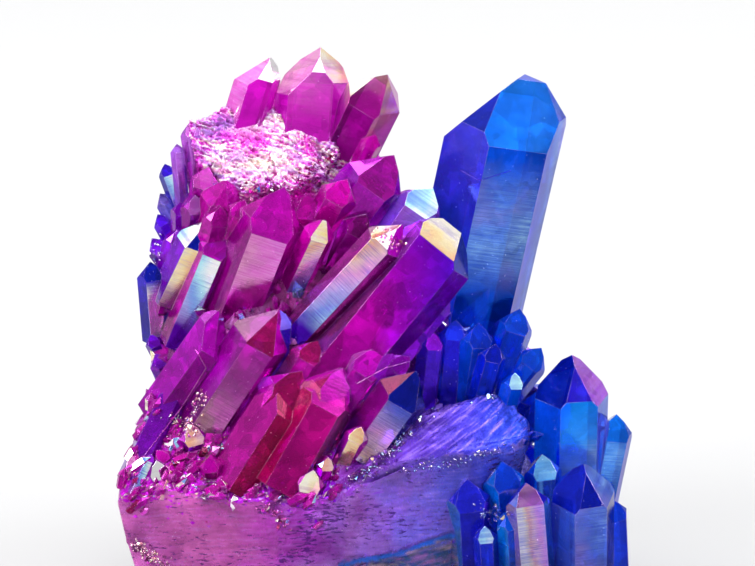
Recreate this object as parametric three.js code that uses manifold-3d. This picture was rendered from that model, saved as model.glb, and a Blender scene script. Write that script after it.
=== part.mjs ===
// A natural cluster of quartz points grown together on their broken quartz matrix.
// Millimetres, +Z up. The origin is on the surface it rests on, below its middle.
import * as THREE from "three";
import { ConvexGeometry } from "three/addons/geometries/ConvexGeometry.js";
import { TessellateModifier } from "three/addons/modifiers/TessellateModifier.js";
import { mergeVertices } from "three/addons/utils/BufferGeometryUtils.js";
import Module from "manifold-3d";

const wasm = await Module();
wasm.setup();

const DEGREE = Math.PI / 180;

// Places are sighted from a point in front of the cluster and above it. [across, rise, depth] is
// mm to the right and mm up on the plane through the cluster's middle, and mm behind that middle.
const SIGHT_DISTANCE = 262;
const SIGHT_TILT = 16 * DEGREE;
const SIGHT_HEIGHT = 43;

// The angle between quartz's long axis and a line square to one of the slanted faces of its tip.
const TIP_FACE_ANGLE = 51.8 * DEGREE;
const SIDES = 6;
const EVEN_SIDES = [1, 1, 1, 1, 1, 1];
const ALTERNATE_SLANTS = [0, 0.2, 0, 0.2, 0, 0.2];

// Corners closer than SAME_PLACE are one corner. Edges shorter than SHORTEST_EDGE are removed.
const SAME_PLACE = 1e-4;
const SHORTEST_EDGE = 0.02;

function sighted([across, rise, depth]) {
  const level = Math.cos(SIGHT_TILT);
  const drop = Math.sin(SIGHT_TILT);
  const reach = (depth + SIGHT_DISTANCE * level) / (level + (rise / SIGHT_DISTANCE) * drop);
  return new THREE.Vector3(
    (reach * across) / SIGHT_DISTANCE,
    depth,
    SIGHT_HEIGHT + SIGHT_DISTANCE * drop - reach * drop + (reach * rise * level) / SIGHT_DISTANCE,
  );
}

function solidOf(geometry) {
  const bare = geometry.clone();
  bare.deleteAttribute("normal");
  bare.deleteAttribute("uv");
  const merged = mergeVertices(bare, SAME_PLACE);
  return new wasm.Manifold(
    new wasm.Mesh({
      numProp: 3,
      vertProperties: new Float32Array(merged.attributes.position.array),
      triVerts: new Uint32Array(merged.index.array),
    }),
  );
}

// Keeps what lies behind the plane through a place, square to a direction.
function cutBefore(solid, direction, place, clearance = 0) {
  const reach = direction.dot(place) + clearance;
  return solid.trimByPlane(direction.clone().negate().toArray(), -reach);
}

// One quartz point: a six-sided prism from foot to tip, closed by six slanted faces. Side 0 faces
// the front, and the others follow to the right; spin turns them all to the right, in degrees.
// wide is the mm across between opposite sides. sides and slants hold, in half widths, how far
// each side stands from the axis and how far each slanted face stands outside the tip. blunt is
// the mm broken off the tip.
function quartzPoint({
  tip,
  foot,
  wide,
  spin = 0,
  sides = EVEN_SIDES,
  slants = ALTERNATE_SLANTS,
  blunt = 0,
}) {
  const axis = tip.clone().sub(foot);
  const length = axis.length();
  axis.normalize();
  const front = new THREE.Vector3(0, -Math.cos(SIGHT_TILT), Math.sin(SIGHT_TILT));
  front.addScaledVector(axis, -front.dot(axis)).normalize();
  const right = axis.clone().cross(front);
  const blank = new THREE.BoxGeometry(wide * 3, wide * 3, length + wide * 2);
  blank.translate(0, 0, (length + wide * 2) / 2);
  blank.applyMatrix4(new THREE.Matrix4().makeBasis(front, right, axis).setPosition(foot));
  let point = solidOf(blank);
  for (let side = 0; side < SIDES; side++) {
    const turn = (spin + side * 60) * DEGREE;
    const outward = front.clone().multiplyScalar(Math.cos(turn)).addScaledVector(right, Math.sin(turn));
    point = cutBefore(point, outward, foot, (sides[side] * wide) / 2);
    const slanted = outward.clone().multiplyScalar(Math.sin(TIP_FACE_ANGLE));
    slanted.addScaledVector(axis, Math.cos(TIP_FACE_ANGLE));
    point = cutBefore(point, slanted, tip, (slants[side] * wide) / 2);
  }
  return blunt > 0 ? cutBefore(point, axis, tip, -blunt) : point;
}

const placed = ([x, y, z]) => new THREE.Vector3(x, y, z);

// A small push that is the same for the same place, so that faces that share a corner stay joined.
function roughPush(place, roughness) {
  const wave = (a, b, c) => Math.sin(a * place.x + b * place.y + c * place.z);
  return new THREE.Vector3(
    wave(1.7, 2.3, -1.1) + wave(-3.1, 0.9, 2.6),
    wave(2.1, -1.6, 1.9) + wave(0.8, 3.3, -2.2),
    wave(-1.3, 1.9, 2.7) + wave(2.9, -2.4, 0.7),
  ).multiplyScalar(roughness / 2);
}

// A lump of broken quartz: the hull of a few corners, its faces parted into small ones no longer
// than grain, and their corners pushed about by roughness.
const PARTINGS = 14;

function brokenLump({ corners, grain, roughness }) {
  const hull = new ConvexGeometry(corners);
  hull.deleteAttribute("normal");
  const parted = mergeVertices(new TessellateModifier(grain, PARTINGS).modify(hull), SAME_PLACE);
  const place = new THREE.Vector3();
  const positions = parted.attributes.position;
  for (let index = 0; index < positions.count; index++) {
    place.fromBufferAttribute(positions, index);
    place.add(roughPush(place, roughness));
    positions.setXYZ(index, place.x, place.y, place.z);
  }
  return solidOf(parted);
}

const TOP_POINTS = [
  {
    tip: [-13.4, 28.2, 9],
    foot: [-18.2, 12.5, 8],
    wide: 5,
    spin: 16,
    sides: [1, 0.75, 0.7, 0.9, 1.25, 1.25],
    slants: [0.12, 0, 0.3, 0.1, 0, 0.05],
  },
  {
    tip: [-7.1, 29.5, 11],
    foot: [-8.2, 14, 9],
    wide: 7.4,
    spin: 2,
    sides: [0.9, 0.9, 0.9, 1, 1.2, 1.3],
    slants: [0.2, 0, 0.3, 0, 0.3, 0],
  },
  {
    tip: [0.9, 26, 4],
    foot: [-4.7, 14.5, 11],
    wide: 6.6,
    spin: -8,
    slants: [0, 0.12, 0.1, 0.1, 0, 0.12],
  },
  { tip: [-0.2, 18.6, 3], foot: [-2.6, 14, 6], wide: 2.4, spin: 10 },
];

const LEFT_POINTS = [
  { tip: [-23.4, 20.2, 5], foot: [-22, 11, 5], wide: 2.6, spin: 10 },
  { tip: [-25.1, 17.4, 4], foot: [-24.3, 9, 4], wide: 1.6, spin: 20 },
  { tip: [-26.6, 14.9, 5], foot: [-24.4, 9, 5], wide: 2.2, spin: 0 },
  { tip: [-27.2, 11.2, 5], foot: [-24.4, 6, 5], wide: 2.2, spin: 25 },
  { tip: [-27.5, 8.6, 4], foot: [-24.4, 3, 5], wide: 2.1, spin: 12 },
  { tip: [-28.2, 5.6, 3], foot: [-24.2, 0, 4], wide: 2.8, spin: 5 },
  { tip: [-28.4, 2.7, 1], foot: [-27.6, -7, 3], wide: 3.2, spin: 14 },
  { tip: [-28.4, -6.4, 1], foot: [-26, -11, 3], wide: 2.2, spin: 0 },
  { tip: [-27.8, -8.8, 0], foot: [-25.4, -14, 2], wide: 2.4, spin: 20 },
  { tip: [-24.9, 6.7, 1], foot: [-26.6, 0, 3], wide: 2.8, spin: 30 },
  {
    tip: [-21.8, 7.2, -1],
    foot: [-26.2, -2, 2],
    wide: 4.2,
    spin: 16,
    slants: [0.05, 0, 0.3, 0.2, 0.2, 0],
  },
  { tip: [-19.4, 6.2, -2], foot: [-25, -7.5, 1], wide: 4.2, spin: 4, slants: [0, 0.2, 0.1, 0.2, 0, 0.2] },
  { tip: [-21.1, 14.5, 1], foot: [-22.2, 7, 4], wide: 3.6, spin: -10 },
  { tip: [-18.8, 12.8, -1], foot: [-21.4, 4, 3], wide: 4.6, spin: 10, slants: [0.1, 0, 0.2, 0, 0.1, 0] },
  { tip: [-22.8, 11, 0], foot: [-23.4, 4, 4], wide: 3, spin: 24 },
  { tip: [-24.6, 10.2, 1], foot: [-24.6, 4, 4], wide: 2.2, spin: 5 },
  { tip: [-19.6, 9.6, -3], foot: [-21.8, 2, 1], wide: 3.2, spin: 28 },
  { tip: [-16.6, 10.4, -3], foot: [-19.8, 2, 1], wide: 3, spin: 0 },
  {
    tip: [-12.3, 11.7, -3],
    foot: [-20.4, -9.6, 1],
    wide: 7.8,
    spin: 12,
    sides: [1, 1.1, 1.1, 1, 0.9, 0.9],
    slants: [0, 0.25, 0.2, 0.2, 0, 0.15],
  },
];

const MIDDLE_POINTS = [
  {
    tip: [2.1, 16, 1],
    foot: [-8, 3, 2],
    wide: 7.2,
    spin: 10,
    slants: [0, 0.2, 0, 0.2, 0, 0.1],
  },
  { tip: [-3.8, 13, -3], foot: [-9, 3, 2], wide: 4.2, spin: 0 },
  { tip: [-8.6, 11.2, -2], foot: [-11, 2, 2], wide: 4, spin: 20 },
  {
    tip: [-6.6, 7.8, -5],
    foot: [-11.4, -2.4, -1],
    wide: 3.4,
    spin: 18,
    slants: [0, 0.1, 0.2, 0, 0.2, 0.1],
  },
  { tip: [-1.4, 8.6, -3], foot: [-6.6, 0, 1], wide: 3.8, spin: 8 },
  {
    tip: [2.8, 7.1, -7],
    foot: [-9.9, -6.6, -5],
    wide: 4.6,
    spin: -4,
    slants: [0.1, 0, 0.2, 0.3, 0.1, 0],
  },
  { tip: [7, 11.8, -1], foot: [1.6, 4, -2], wide: 5.4, spin: -4, slants: [0, 0.3, 0, 0.2, 0, 0.3] },
  {
    tip: [9.9, 6.7, -5.5],
    foot: [-6.2, -13.2, -8.5],
    wide: 9.8,
    spin: 0,
    sides: [0.5, 0.75, 1, 1.3, 1, 0.8],
    slants: [0, 0.1, 0.3, 0, 0.3, 0.4],
  },
  { tip: [8.6, -0.4, -3], foot: [-1.6, -13, -7], wide: 5, spin: 25 },
];

const BIG_BLUE_POINT = {
  tip: [18.8, 26.5, 4],
  foot: [11.3, -7, 6],
  wide: 13.2,
  spin: 15,
  sides: [1, 0.84, 0.85, 1, 1.16, 1.14],
  slants: [0, 0.2, 0.1, 0.2, 0, 0.24],
  blunt: 1,
};

const LOWER_LEFT_POINTS = [
  {
    tip: [-19.8, -3.9, -8],
    foot: [-28.4, -16, -6],
    wide: 6.2,
    spin: 18,
    sides: [1, 1.15, 1.2, 1, 0.5, 0.5],
    slants: [0, 0, 0.2, 0.1, 0.2, 0.1],
  },
  {
    tip: [-12.8, -3.7, -9],
    foot: [-22.6, -18.6, -8],
    wide: 6.8,
    spin: 14,
    sides: [1, 1, 1, 1, 0.9, 0.9],
    slants: [0.05, 0.1, 0.2, 0.2, 0.1, 0],
  },
  { tip: [-12.2, -3.4, -8], foot: [-12.8, -13, -6], wide: 3, spin: 30 },
  { tip: [-9.4, -11, -11], foot: [-19.3, -23, -9], wide: 5.6, spin: 12 },
  { tip: [-4.2, -10.6, -11], foot: [-13.6, -24, -10], wide: 6, spin: 28 },
  { tip: [-7.4, -7.2, -9], foot: [-12.4, -15, -8], wide: 3.8, spin: 6 },
  { tip: [0.4, -8.2, -10], foot: [-6.5, -18, -8], wide: 5, spin: 0 },
  { tip: [4.1, -9.2, -11], foot: [-5, -15.4, -9], wide: 3.4, spin: 10 },
  {
    tip: [5, -11.3, -13],
    foot: [-1.9, -21, -11],
    wide: 5.8,
    spin: 10,
    slants: [0, 0.1, 0, 0.2, 0.1, 0.1],
  },
  { tip: [-2, -18, -15], foot: [-4.5, -23, -12], wide: 2.6, spin: 0 },
  { tip: [-8, -23.4, -17], foot: [-10, -29, -13], wide: 3.6, spin: 10 },
  { tip: [-6.2, -21.8, -16], foot: [-7.5, -26, -13], wide: 2.1, spin: 25 },
  { tip: [-18, -26.6, -17], foot: [-17.4, -31, -13], wide: 1.9, spin: 18 },
  { tip: [-23.4, -17.6, -12], foot: [-23, -23, -10], wide: 3.4, spin: 24 },
  { tip: [-27.6, -22.2, -14], foot: [-26.6, -27, -11], wide: 3, spin: 8 },
  { tip: [-21, -21.6, -15], foot: [-20.2, -27, -12], wide: 2.6, spin: 0 },
  { tip: [-14.6, -23, -15], foot: [-15.6, -28, -12], wide: 2.8, spin: 14 },
];

const BLUE_POINTS = [
  { tip: [6.9, -6.1, -6], foot: [5.6, -17, -6], wide: 3, spin: 18 },
  { tip: [9.8, -4.6, -5], foot: [8.6, -16, -5], wide: 3.4, spin: 0 },
  { tip: [12.6, -5, -6], foot: [10.9, -16, -5], wide: 4, spin: 22 },
  { tip: [14.8, -7.6, -8], foot: [12.4, -16, -7], wide: 3, spin: 6 },
  { tip: [17.8, -3.2, -2], foot: [14, -14, -3], wide: 4.4, spin: 10 },
  { tip: [20.5, -8.1, -3], foot: [14.5, -15.5, -3], wide: 4, spin: 5 },
  { tip: [17.2, -11.2, -9], foot: [15.6, -17, -8], wide: 2.6, spin: 28 },
];

const RIGHT_POINTS = [
  {
    tip: [24.4, -9.3, -8],
    foot: [23.9, -30, -7],
    wide: 8,
    spin: 8,
    slants: [0.12, 0, 0.2, 0.1, 0.2, 0],
  },
  { tip: [29.9, -16.4, -8], foot: [27.5, -28, -7], wide: 4.4, spin: 12 },
  { tip: [27.9, -16.2, -10], foot: [27, -24, -9], wide: 2.1, spin: 0 },
  {
    tip: [25.7, -23, -17],
    foot: [25.7, -44, -12],
    wide: 6.8,
    spin: 10,
    slants: [0.12, 0.05, 0.2, 0.1, 0.2, 0],
  },
  {
    tip: [18.6, -25, -19],
    foot: [20, -42, -14],
    wide: 4.6,
    spin: 3,
    sides: [0.75, 1, 1, 0.75, 1, 1],
  },
  { tip: [29.2, -27, -13], foot: [30, -44, -9], wide: 3.6, spin: 20 },
  { tip: [20.6, -21.4, -13], foot: [21, -36, -10], wide: 4, spin: 6 },
  { tip: [16.4, -28.6, -18], foot: [17, -40, -14], wide: 2.8, spin: 18 },
  { tip: [13.4, -30.4, -18], foot: [14, -40, -14], wide: 2.6, spin: 0 },
  { tip: [15.6, -22.3, -15], foot: [16.5, -38, -11], wide: 4.6, spin: 12 },
  { tip: [11.2, -24.5, -16], foot: [11.9, -38, -12], wide: 5, spin: 5 },
];

// The back of the cluster: rows of points that stand out from the mass, steeper towards the top.
// bearing is the row's first and last direction seen from above, in degrees from +X.
const BACK_ROWS = [
  { height: 9, reach: 9, points: 7, steepness: 18, bearing: [-8, 186], wide: 6.4 },
  { height: 19, reach: 9, points: 7, steepness: 32, bearing: [8, 172], wide: 5.6 },
  { height: 29, reach: 8, points: 6, steepness: 46, bearing: [28, 168], wide: 6.2 },
  { height: 39, reach: 7, points: 5, steepness: 56, bearing: [62, 176], wide: 5 },
  { height: 48, reach: 5.5, points: 4, steepness: 66, bearing: [80, 168], wide: 4.6 },
];
const BACK_MIDDLE = new THREE.Vector2(-2, 5);
const BACK_SPAN = new THREE.Vector2(15.4, 8.4);
// The rows move to the left by BACK_LEAN for each mm up, and would close to one place at BACK_PEAK.
const BACK_LEAN = 0.12;
const BACK_PEAK = 110;
const BACK_BURIED = 6;
// How far one point strays from its row: mm up, degrees of steepness and a share of the spacing.
const BACK_STRAY = { height: 4, steepness: 16, spacing: 0.6 };
const BACK_SEED = 11;

// The two ends of the cluster: six points on the right, below the big point, and five on the left.
const SIDE_POINTS = [
  { tip: [24, 5, 27.5], foot: [14, 3, 19], wide: 5.6, spin: 20 },
  { tip: [29, 3, 20], foot: [16, 2, 14], wide: 6.4, spin: 8 },
  { tip: [30, 9, 9.5], foot: [16, 6, 6], wide: 6.6, spin: 35 },
  { tip: [25, 13, 25], foot: [14, 8, 17], wide: 5.2, spin: 50 },
  { tip: [17.5, 13, 35], foot: [12, 7, 26], wide: 5, spin: 12 },
  { tip: [28, 15, 16], foot: [16, 9, 12], wide: 5.4, spin: 28 },
  { tip: [-31.5, -4, 17], foot: [-22, -3, 12], wide: 5, spin: 15 },
  { tip: [-28.5, 5, 27], foot: [-21, 3, 20], wide: 5, spin: 40 },
  { tip: [-30, 8, 13], foot: [-21, 6, 9], wide: 6, spin: 5 },
  { tip: [-29, 2, 35], foot: [-22, 2, 28], wide: 4.2, spin: 22 },
  { tip: [-28.5, 9, 35], foot: [-21, 6, 28], wide: 4.4, spin: 30 },
];

// Repeatable numbers between 0 and 1, from a common linear congruential generator.
const STREAM_FACTOR = 1664525;
const STREAM_STEP = 1013904223;
const STREAM_SIZE = 2 ** 32;

function numberStream(seed) {
  let state = seed;
  return () => {
    state = (state * STREAM_FACTOR + STREAM_STEP) % STREAM_SIZE;
    return state / STREAM_SIZE;
  };
}

function backPoint({ height, reach, steepness, bearing, wide }, share, random) {
  const turn = THREE.MathUtils.lerp(bearing[0], bearing[1], share) * DEGREE;
  const climb = (steepness + BACK_STRAY.steepness * (random() - 0.5)) * DEGREE;
  const lift = height + BACK_STRAY.height * (random() - 0.5);
  const narrowing = 1 - height / BACK_PEAK;
  const foot = new THREE.Vector3(
    BACK_MIDDLE.x - height * BACK_LEAN + BACK_SPAN.x * narrowing * Math.cos(turn),
    BACK_MIDDLE.y + BACK_SPAN.y * narrowing * Math.sin(turn),
    lift,
  );
  const length = reach * (0.8 + 0.5 * random()) + BACK_BURIED;
  const out = new THREE.Vector3(
    Math.cos(turn) * Math.cos(climb),
    Math.sin(turn) * Math.cos(climb),
    Math.sin(climb),
  );
  return {
    foot,
    tip: foot.clone().addScaledVector(out, length),
    wide: wide * (0.75 + 0.5 * random()),
    spin: 60 * random(),
    slants: [0, 0.3 * random(), 0, 0.3 * random(), 0, 0.3 * random()],
  };
}

function backPoints() {
  const random = numberStream(BACK_SEED);
  return BACK_ROWS.flatMap((row) =>
    Array.from({ length: row.points }, (_, index) => {
      const share = (index + BACK_STRAY.spacing * (random() - 0.5)) / (row.points - 1);
      return backPoint(row, share, random);
    }),
  );
}

// Short crowded points on the ledge between the lower left points and the matrix.
// They lie between the sighted places DRUSE_START, at the top left, and DRUSE_END.
const DRUSE_COUNT = 34;
const DRUSE_START = [-29, -19.5, -8.8];
const DRUSE_END = [-9.5, -27.5, -14.3];
const DRUSE_LENGTH = [2.4, 3.8];
const DRUSE_WIDE = [1.3, 2.6];
const DRUSE_SEED = 5;

function drusePoints() {
  const random = numberStream(DRUSE_SEED);
  const between = ([low, high]) => THREE.MathUtils.lerp(low, high, random());
  return Array.from({ length: DRUSE_COUNT }, () => {
    const along = random();
    const drop = random();
    const foot = sighted([
      THREE.MathUtils.lerp(DRUSE_START[0], DRUSE_END[0], along),
      THREE.MathUtils.lerp(DRUSE_START[1], DRUSE_END[1], drop),
      THREE.MathUtils.lerp(DRUSE_START[2], DRUSE_END[2], drop),
    ]);
    const out = new THREE.Vector3(random() - 0.5, -0.75 * random(), 0.9).normalize();
    return {
      foot,
      tip: foot.clone().addScaledVector(out, between(DRUSE_LENGTH)),
      wide: between(DRUSE_WIDE),
      spin: 60 * random(),
    };
  });
}

// The mass that the points grow from. Its surface is broken quartz, with no crystal faces. It
// reaches below the base, where it is cut off flat.
const MASS_CORNERS = [
  [-25, -10, -3], [20, -11, -3], [25, -4, -3], [20, 11, -3], [-4, 17, -3], [-23, 13, -3],
  [-27.5, -3, 24], [-25, 3, 38], [-24, 6, 54], [-22, 7, 60], [-12, 11, 64], [-3, 10, 61], [-5, 0, 49],
  [12, -1, 37], [16, 4, 31], [-4, -6, 36], [-2, 15, 50], [-18, 14, 50], [14, 11, 28], [-16, -6, 38],
];

const MATRIX_CORNERS = [
  [-25, -13, -3], [8, -14, -3], [-29, -15.5, 8], [-31.5, -15, 20], [-30.5, -13, 24], [-28, -8, 30],
  [-27, 4, -3], [12, 4, -3], [9, -15, 14], [9, -15.5, 22], [-12, -17.5, 20.5], [-12, -16.5, 4],
  [8, -6, 30], [-29, -15, 2], [-28, 2, 28],
];

const RIGHT_MATRIX_CORNERS = [
  [8, -15, -3], [25, -14, -3], [29, -9, -3], [27, -2, -3], [25, -12, 9], [12, -14, 9], [28, -8, 11],
  [24, -3, 18], [10, -8, 16],
];

// Two pieces of the matrix that rise to the right: a wedge, and the smooth curved break on top.
const WEDGE_CORNERS = [
  [-6, -27, -16.5], [2.8, -23.1, -16.5], [7.8, -21.4, -16], [11.8, -21.1, -15.5], [17.3, -20.7, -13.5],
  [19.2, -19, -12], [17, -25, -12.5], [9.6, -32, -16], [9, -42, -15], [-4, -42, -15], [8, -30, -6],
  [16, -28, -5], [15, -36, -12],
];

const CURVED_BREAK_CORNERS = [
  [-6, -26.2, -16], [2.8, -23, -16], [7.8, -21.3, -15.5], [11.8, -21, -15], [17.5, -20.3, -13],
  [19.4, -18.5, -11], [19.2, -17, -10], [15.3, -13.8, -9], [11.8, -14.2, -9.5], [7.8, -15.2, -10],
  [3.3, -17.6, -12], [-1, -22, -14], [0, -32, -8], [16, -30, -6],
];

const BROKEN_TOP_CORNERS = [
  [-23.5, 20, 5], [-19, 20.4, 6], [-16.3, 22.5, 8], [-12.6, 20.5, 8], [-6.5, 20.2, 8], [-4.8, 15.6, 5],
  [-9.7, 12, 1], [-12.8, 11.4, 0], [-17.5, 10.4, 0], [-22, 15, 2], [-12, 5, 8], [-20, 5, 8],
];

const sightedPoints = [
  ...TOP_POINTS,
  ...LEFT_POINTS,
  ...MIDDLE_POINTS,
  BIG_BLUE_POINT,
  ...LOWER_LEFT_POINTS,
  ...BLUE_POINTS,
  ...RIGHT_POINTS,
].map((point) => ({ ...point, tip: sighted(point.tip), foot: sighted(point.foot) }));

// The largest shell of a solid, which leaves no sealed pocket inside it.
function outerShell(solid) {
  const shells = solid.decompose();
  return shells.reduce((largest, shell) => (shell.volume() > largest.volume() ? shell : largest));
}

const brokenLumps = [
  { corners: MASS_CORNERS.map(placed), grain: 9, roughness: 0.8 },
  { corners: MATRIX_CORNERS.map(placed), grain: 6, roughness: 0.5 },
  { corners: RIGHT_MATRIX_CORNERS.map(placed), grain: 6, roughness: 0.4 },
  { corners: WEDGE_CORNERS.map(sighted), grain: 6, roughness: 0.3 },
  { corners: CURVED_BREAK_CORNERS.map(sighted), grain: 6, roughness: 0.2 },
  { corners: BROKEN_TOP_CORNERS.map(sighted), grain: 3.2, roughness: 0.6 },
];
const sidePoints = SIDE_POINTS.map((point) => ({
  ...point,
  tip: placed(point.tip),
  foot: placed(point.foot),
}));
const points = [...sightedPoints, ...drusePoints(), ...sidePoints, ...backPoints()].map(quartzPoint);

const pieces = [...brokenLumps.map(brokenLump), ...points];
const grown = pieces.reduce((joined, piece) => joined.add(piece));
const base = new THREE.Vector3(0, 0, 0);
const downward = new THREE.Vector3(0, 0, -1);
const cluster = outerShell(cutBefore(grown, downward, base).simplify(SHORTEST_EDGE));

const made = cluster.getMesh();
const geometry = new THREE.BufferGeometry();
geometry.setAttribute("position", new THREE.BufferAttribute(made.vertProperties, 3));
geometry.setIndex(new THREE.BufferAttribute(made.triVerts, 1));
geometry.computeVertexNormals();

geometry.computeBoundingBox();
const middle = geometry.boundingBox.getCenter(new THREE.Vector3());

const material = new THREE.MeshStandardMaterial({ color: 0x9a2fb8, roughness: 0.08, metalness: 0.1 });
const mesh = new THREE.Mesh(geometry, material);
mesh.name = "quartz_cluster";
mesh.position.set(-middle.x, -middle.y, 0);

const group = new THREE.Group();
group.add(mesh);
export default group;
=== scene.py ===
"""The looks of an aura quartz cluster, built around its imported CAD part.

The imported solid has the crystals' true flat faces. This script copies its mesh, finds which crystal and
which face of it each triangle belongs to, gives every face its own colour, sheen and growth lines, and
breaks up the rough quartz between them. Lengths here are millimetres unless a name ends in _M.
"""

import math
from typing import NamedTuple

import bmesh
import bpy
import numpy as np
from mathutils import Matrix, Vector, noise
from mathutils.bvhtree import BVHTree


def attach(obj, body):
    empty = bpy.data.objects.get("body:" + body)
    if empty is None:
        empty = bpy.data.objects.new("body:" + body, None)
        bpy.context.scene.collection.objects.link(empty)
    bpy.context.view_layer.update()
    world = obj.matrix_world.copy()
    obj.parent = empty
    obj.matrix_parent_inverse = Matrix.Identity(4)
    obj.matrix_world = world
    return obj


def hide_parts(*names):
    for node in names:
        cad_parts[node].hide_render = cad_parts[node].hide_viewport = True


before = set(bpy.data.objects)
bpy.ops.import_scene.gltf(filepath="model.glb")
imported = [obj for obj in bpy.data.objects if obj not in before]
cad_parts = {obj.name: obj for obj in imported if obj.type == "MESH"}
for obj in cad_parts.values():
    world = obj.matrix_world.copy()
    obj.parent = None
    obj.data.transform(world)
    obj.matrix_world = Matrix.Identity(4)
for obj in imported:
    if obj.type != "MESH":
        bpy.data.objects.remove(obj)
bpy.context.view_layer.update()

MM = 0.001
TINY, TINY_AREA = 1e-9, 1e-12

# The crystals are placed as in the part's source: sighted from in front of the cluster and above
# it. The part's origin is moved under its middle, which is ORIGIN_SHIFT in the source's own places.
SIGHT_DISTANCE = 262
SIGHT_TILT = math.radians(16)
SIGHT_LEVEL, SIGHT_DROP = math.cos(SIGHT_TILT), math.sin(SIGHT_TILT)
SIGHT_HEIGHT = 43
TIP_FACE_ANGLE = math.radians(51.8)
ORIGIN_SHIFT = np.array((0.176, -4.144, 0.0))
SIDES = 6
EVEN_SIDES = (1,) * SIDES
ALTERNATE_SLANTS = (0, 0.2) * (SIDES // 2)


def sighted(place):
    across, rise, depth = place
    reach = (depth + SIGHT_DISTANCE * SIGHT_LEVEL) / (SIGHT_LEVEL + rise / SIGHT_DISTANCE * SIGHT_DROP)
    climb = reach * rise * SIGHT_LEVEL / SIGHT_DISTANCE
    height = SIGHT_HEIGHT + SIGHT_DISTANCE * SIGHT_DROP - reach * SIGHT_DROP + climb
    return np.array((reach * across / SIGHT_DISTANCE, depth, height))


def placed(place):
    return np.array(place, float)


def unit(vector):
    return vector / np.linalg.norm(vector)


def lerp(low, high, share):
    return low + (high - low) * share


def quartz(
    tip, foot, wide, spin=0, sides=EVEN_SIDES, slants=ALTERNATE_SLANTS, blunt=0, where=sighted, **look
):
    """One quartz point as the part's source has it, and its look: a hue from 0, pink, through magenta,
    purple and violet to deep blue at 0.8 and azure at 1, a tone that brightens it, how pale its film is,
    and the finish of single faces. p0 to p5 are the prism's sides and t0 to t5 the tip's faces, with 0
    to the front and the others following to the right. A finish may come with its own fade: how much
    of the film there is at some mm below the tip."""
    return {
        "tip": where(tip),
        "foot": where(foot),
        "wide": wide,
        "spin": spin,
        "sides": sides,
        "slants": slants,
        "blunt": blunt,
        "look": look,
    }


TOP_POINTS = [
    quartz(
        (-13.4, 28.2, 9), (-18.2, 12.5, 8), 5, 16, sides=(1, 0.75, 0.7, 0.9, 1.25, 1.25),
        slants=(0.12, 0, 0.3, 0.1, 0, 0.05),
        hue=0.02, tone=0.9, t0="white", t5="blush", p5="blush", p0="plain", t1="white",
    ),
    quartz(
        (-7.1, 29.5, 11), (-8.2, 14, 9), 7.4, 2, sides=(0.9, 0.9, 0.9, 1, 1.2, 1.3),
        slants=(0.2, 0, 0.3, 0, 0.3, 0),
        hue=0.0, tone=1, t0="white", t5="blush", t1=("amber", ((0, 1.4), (9, 0.8))),
        p0=("rose", ((0, 2), (5, 1.2), (9, 0.1))), p1="plain",
    ),
    quartz(
        (0.9, 26, 4), (-4.7, 14.5, 11), 6.6, -8, slants=(0, 0.12, 0.1, 0.1, 0, 0.12),
        hue=0.06, tone=0.8, t0=("ember", ((0, 0.7), (1.2, 0.4), (2.2, 0))), t5="gold", p0="wine",
        t1="amber", p5=("amber", ((2, 1.2), (4, 0.8), (6, 0))), p1=("amber", ((3, 1), (8, 0.6), (10, 0))),
    ),
    quartz((-0.2, 18.6, 3), (-2.6, 14, 6), 2.4, 10, hue=0.1),
]

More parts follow.
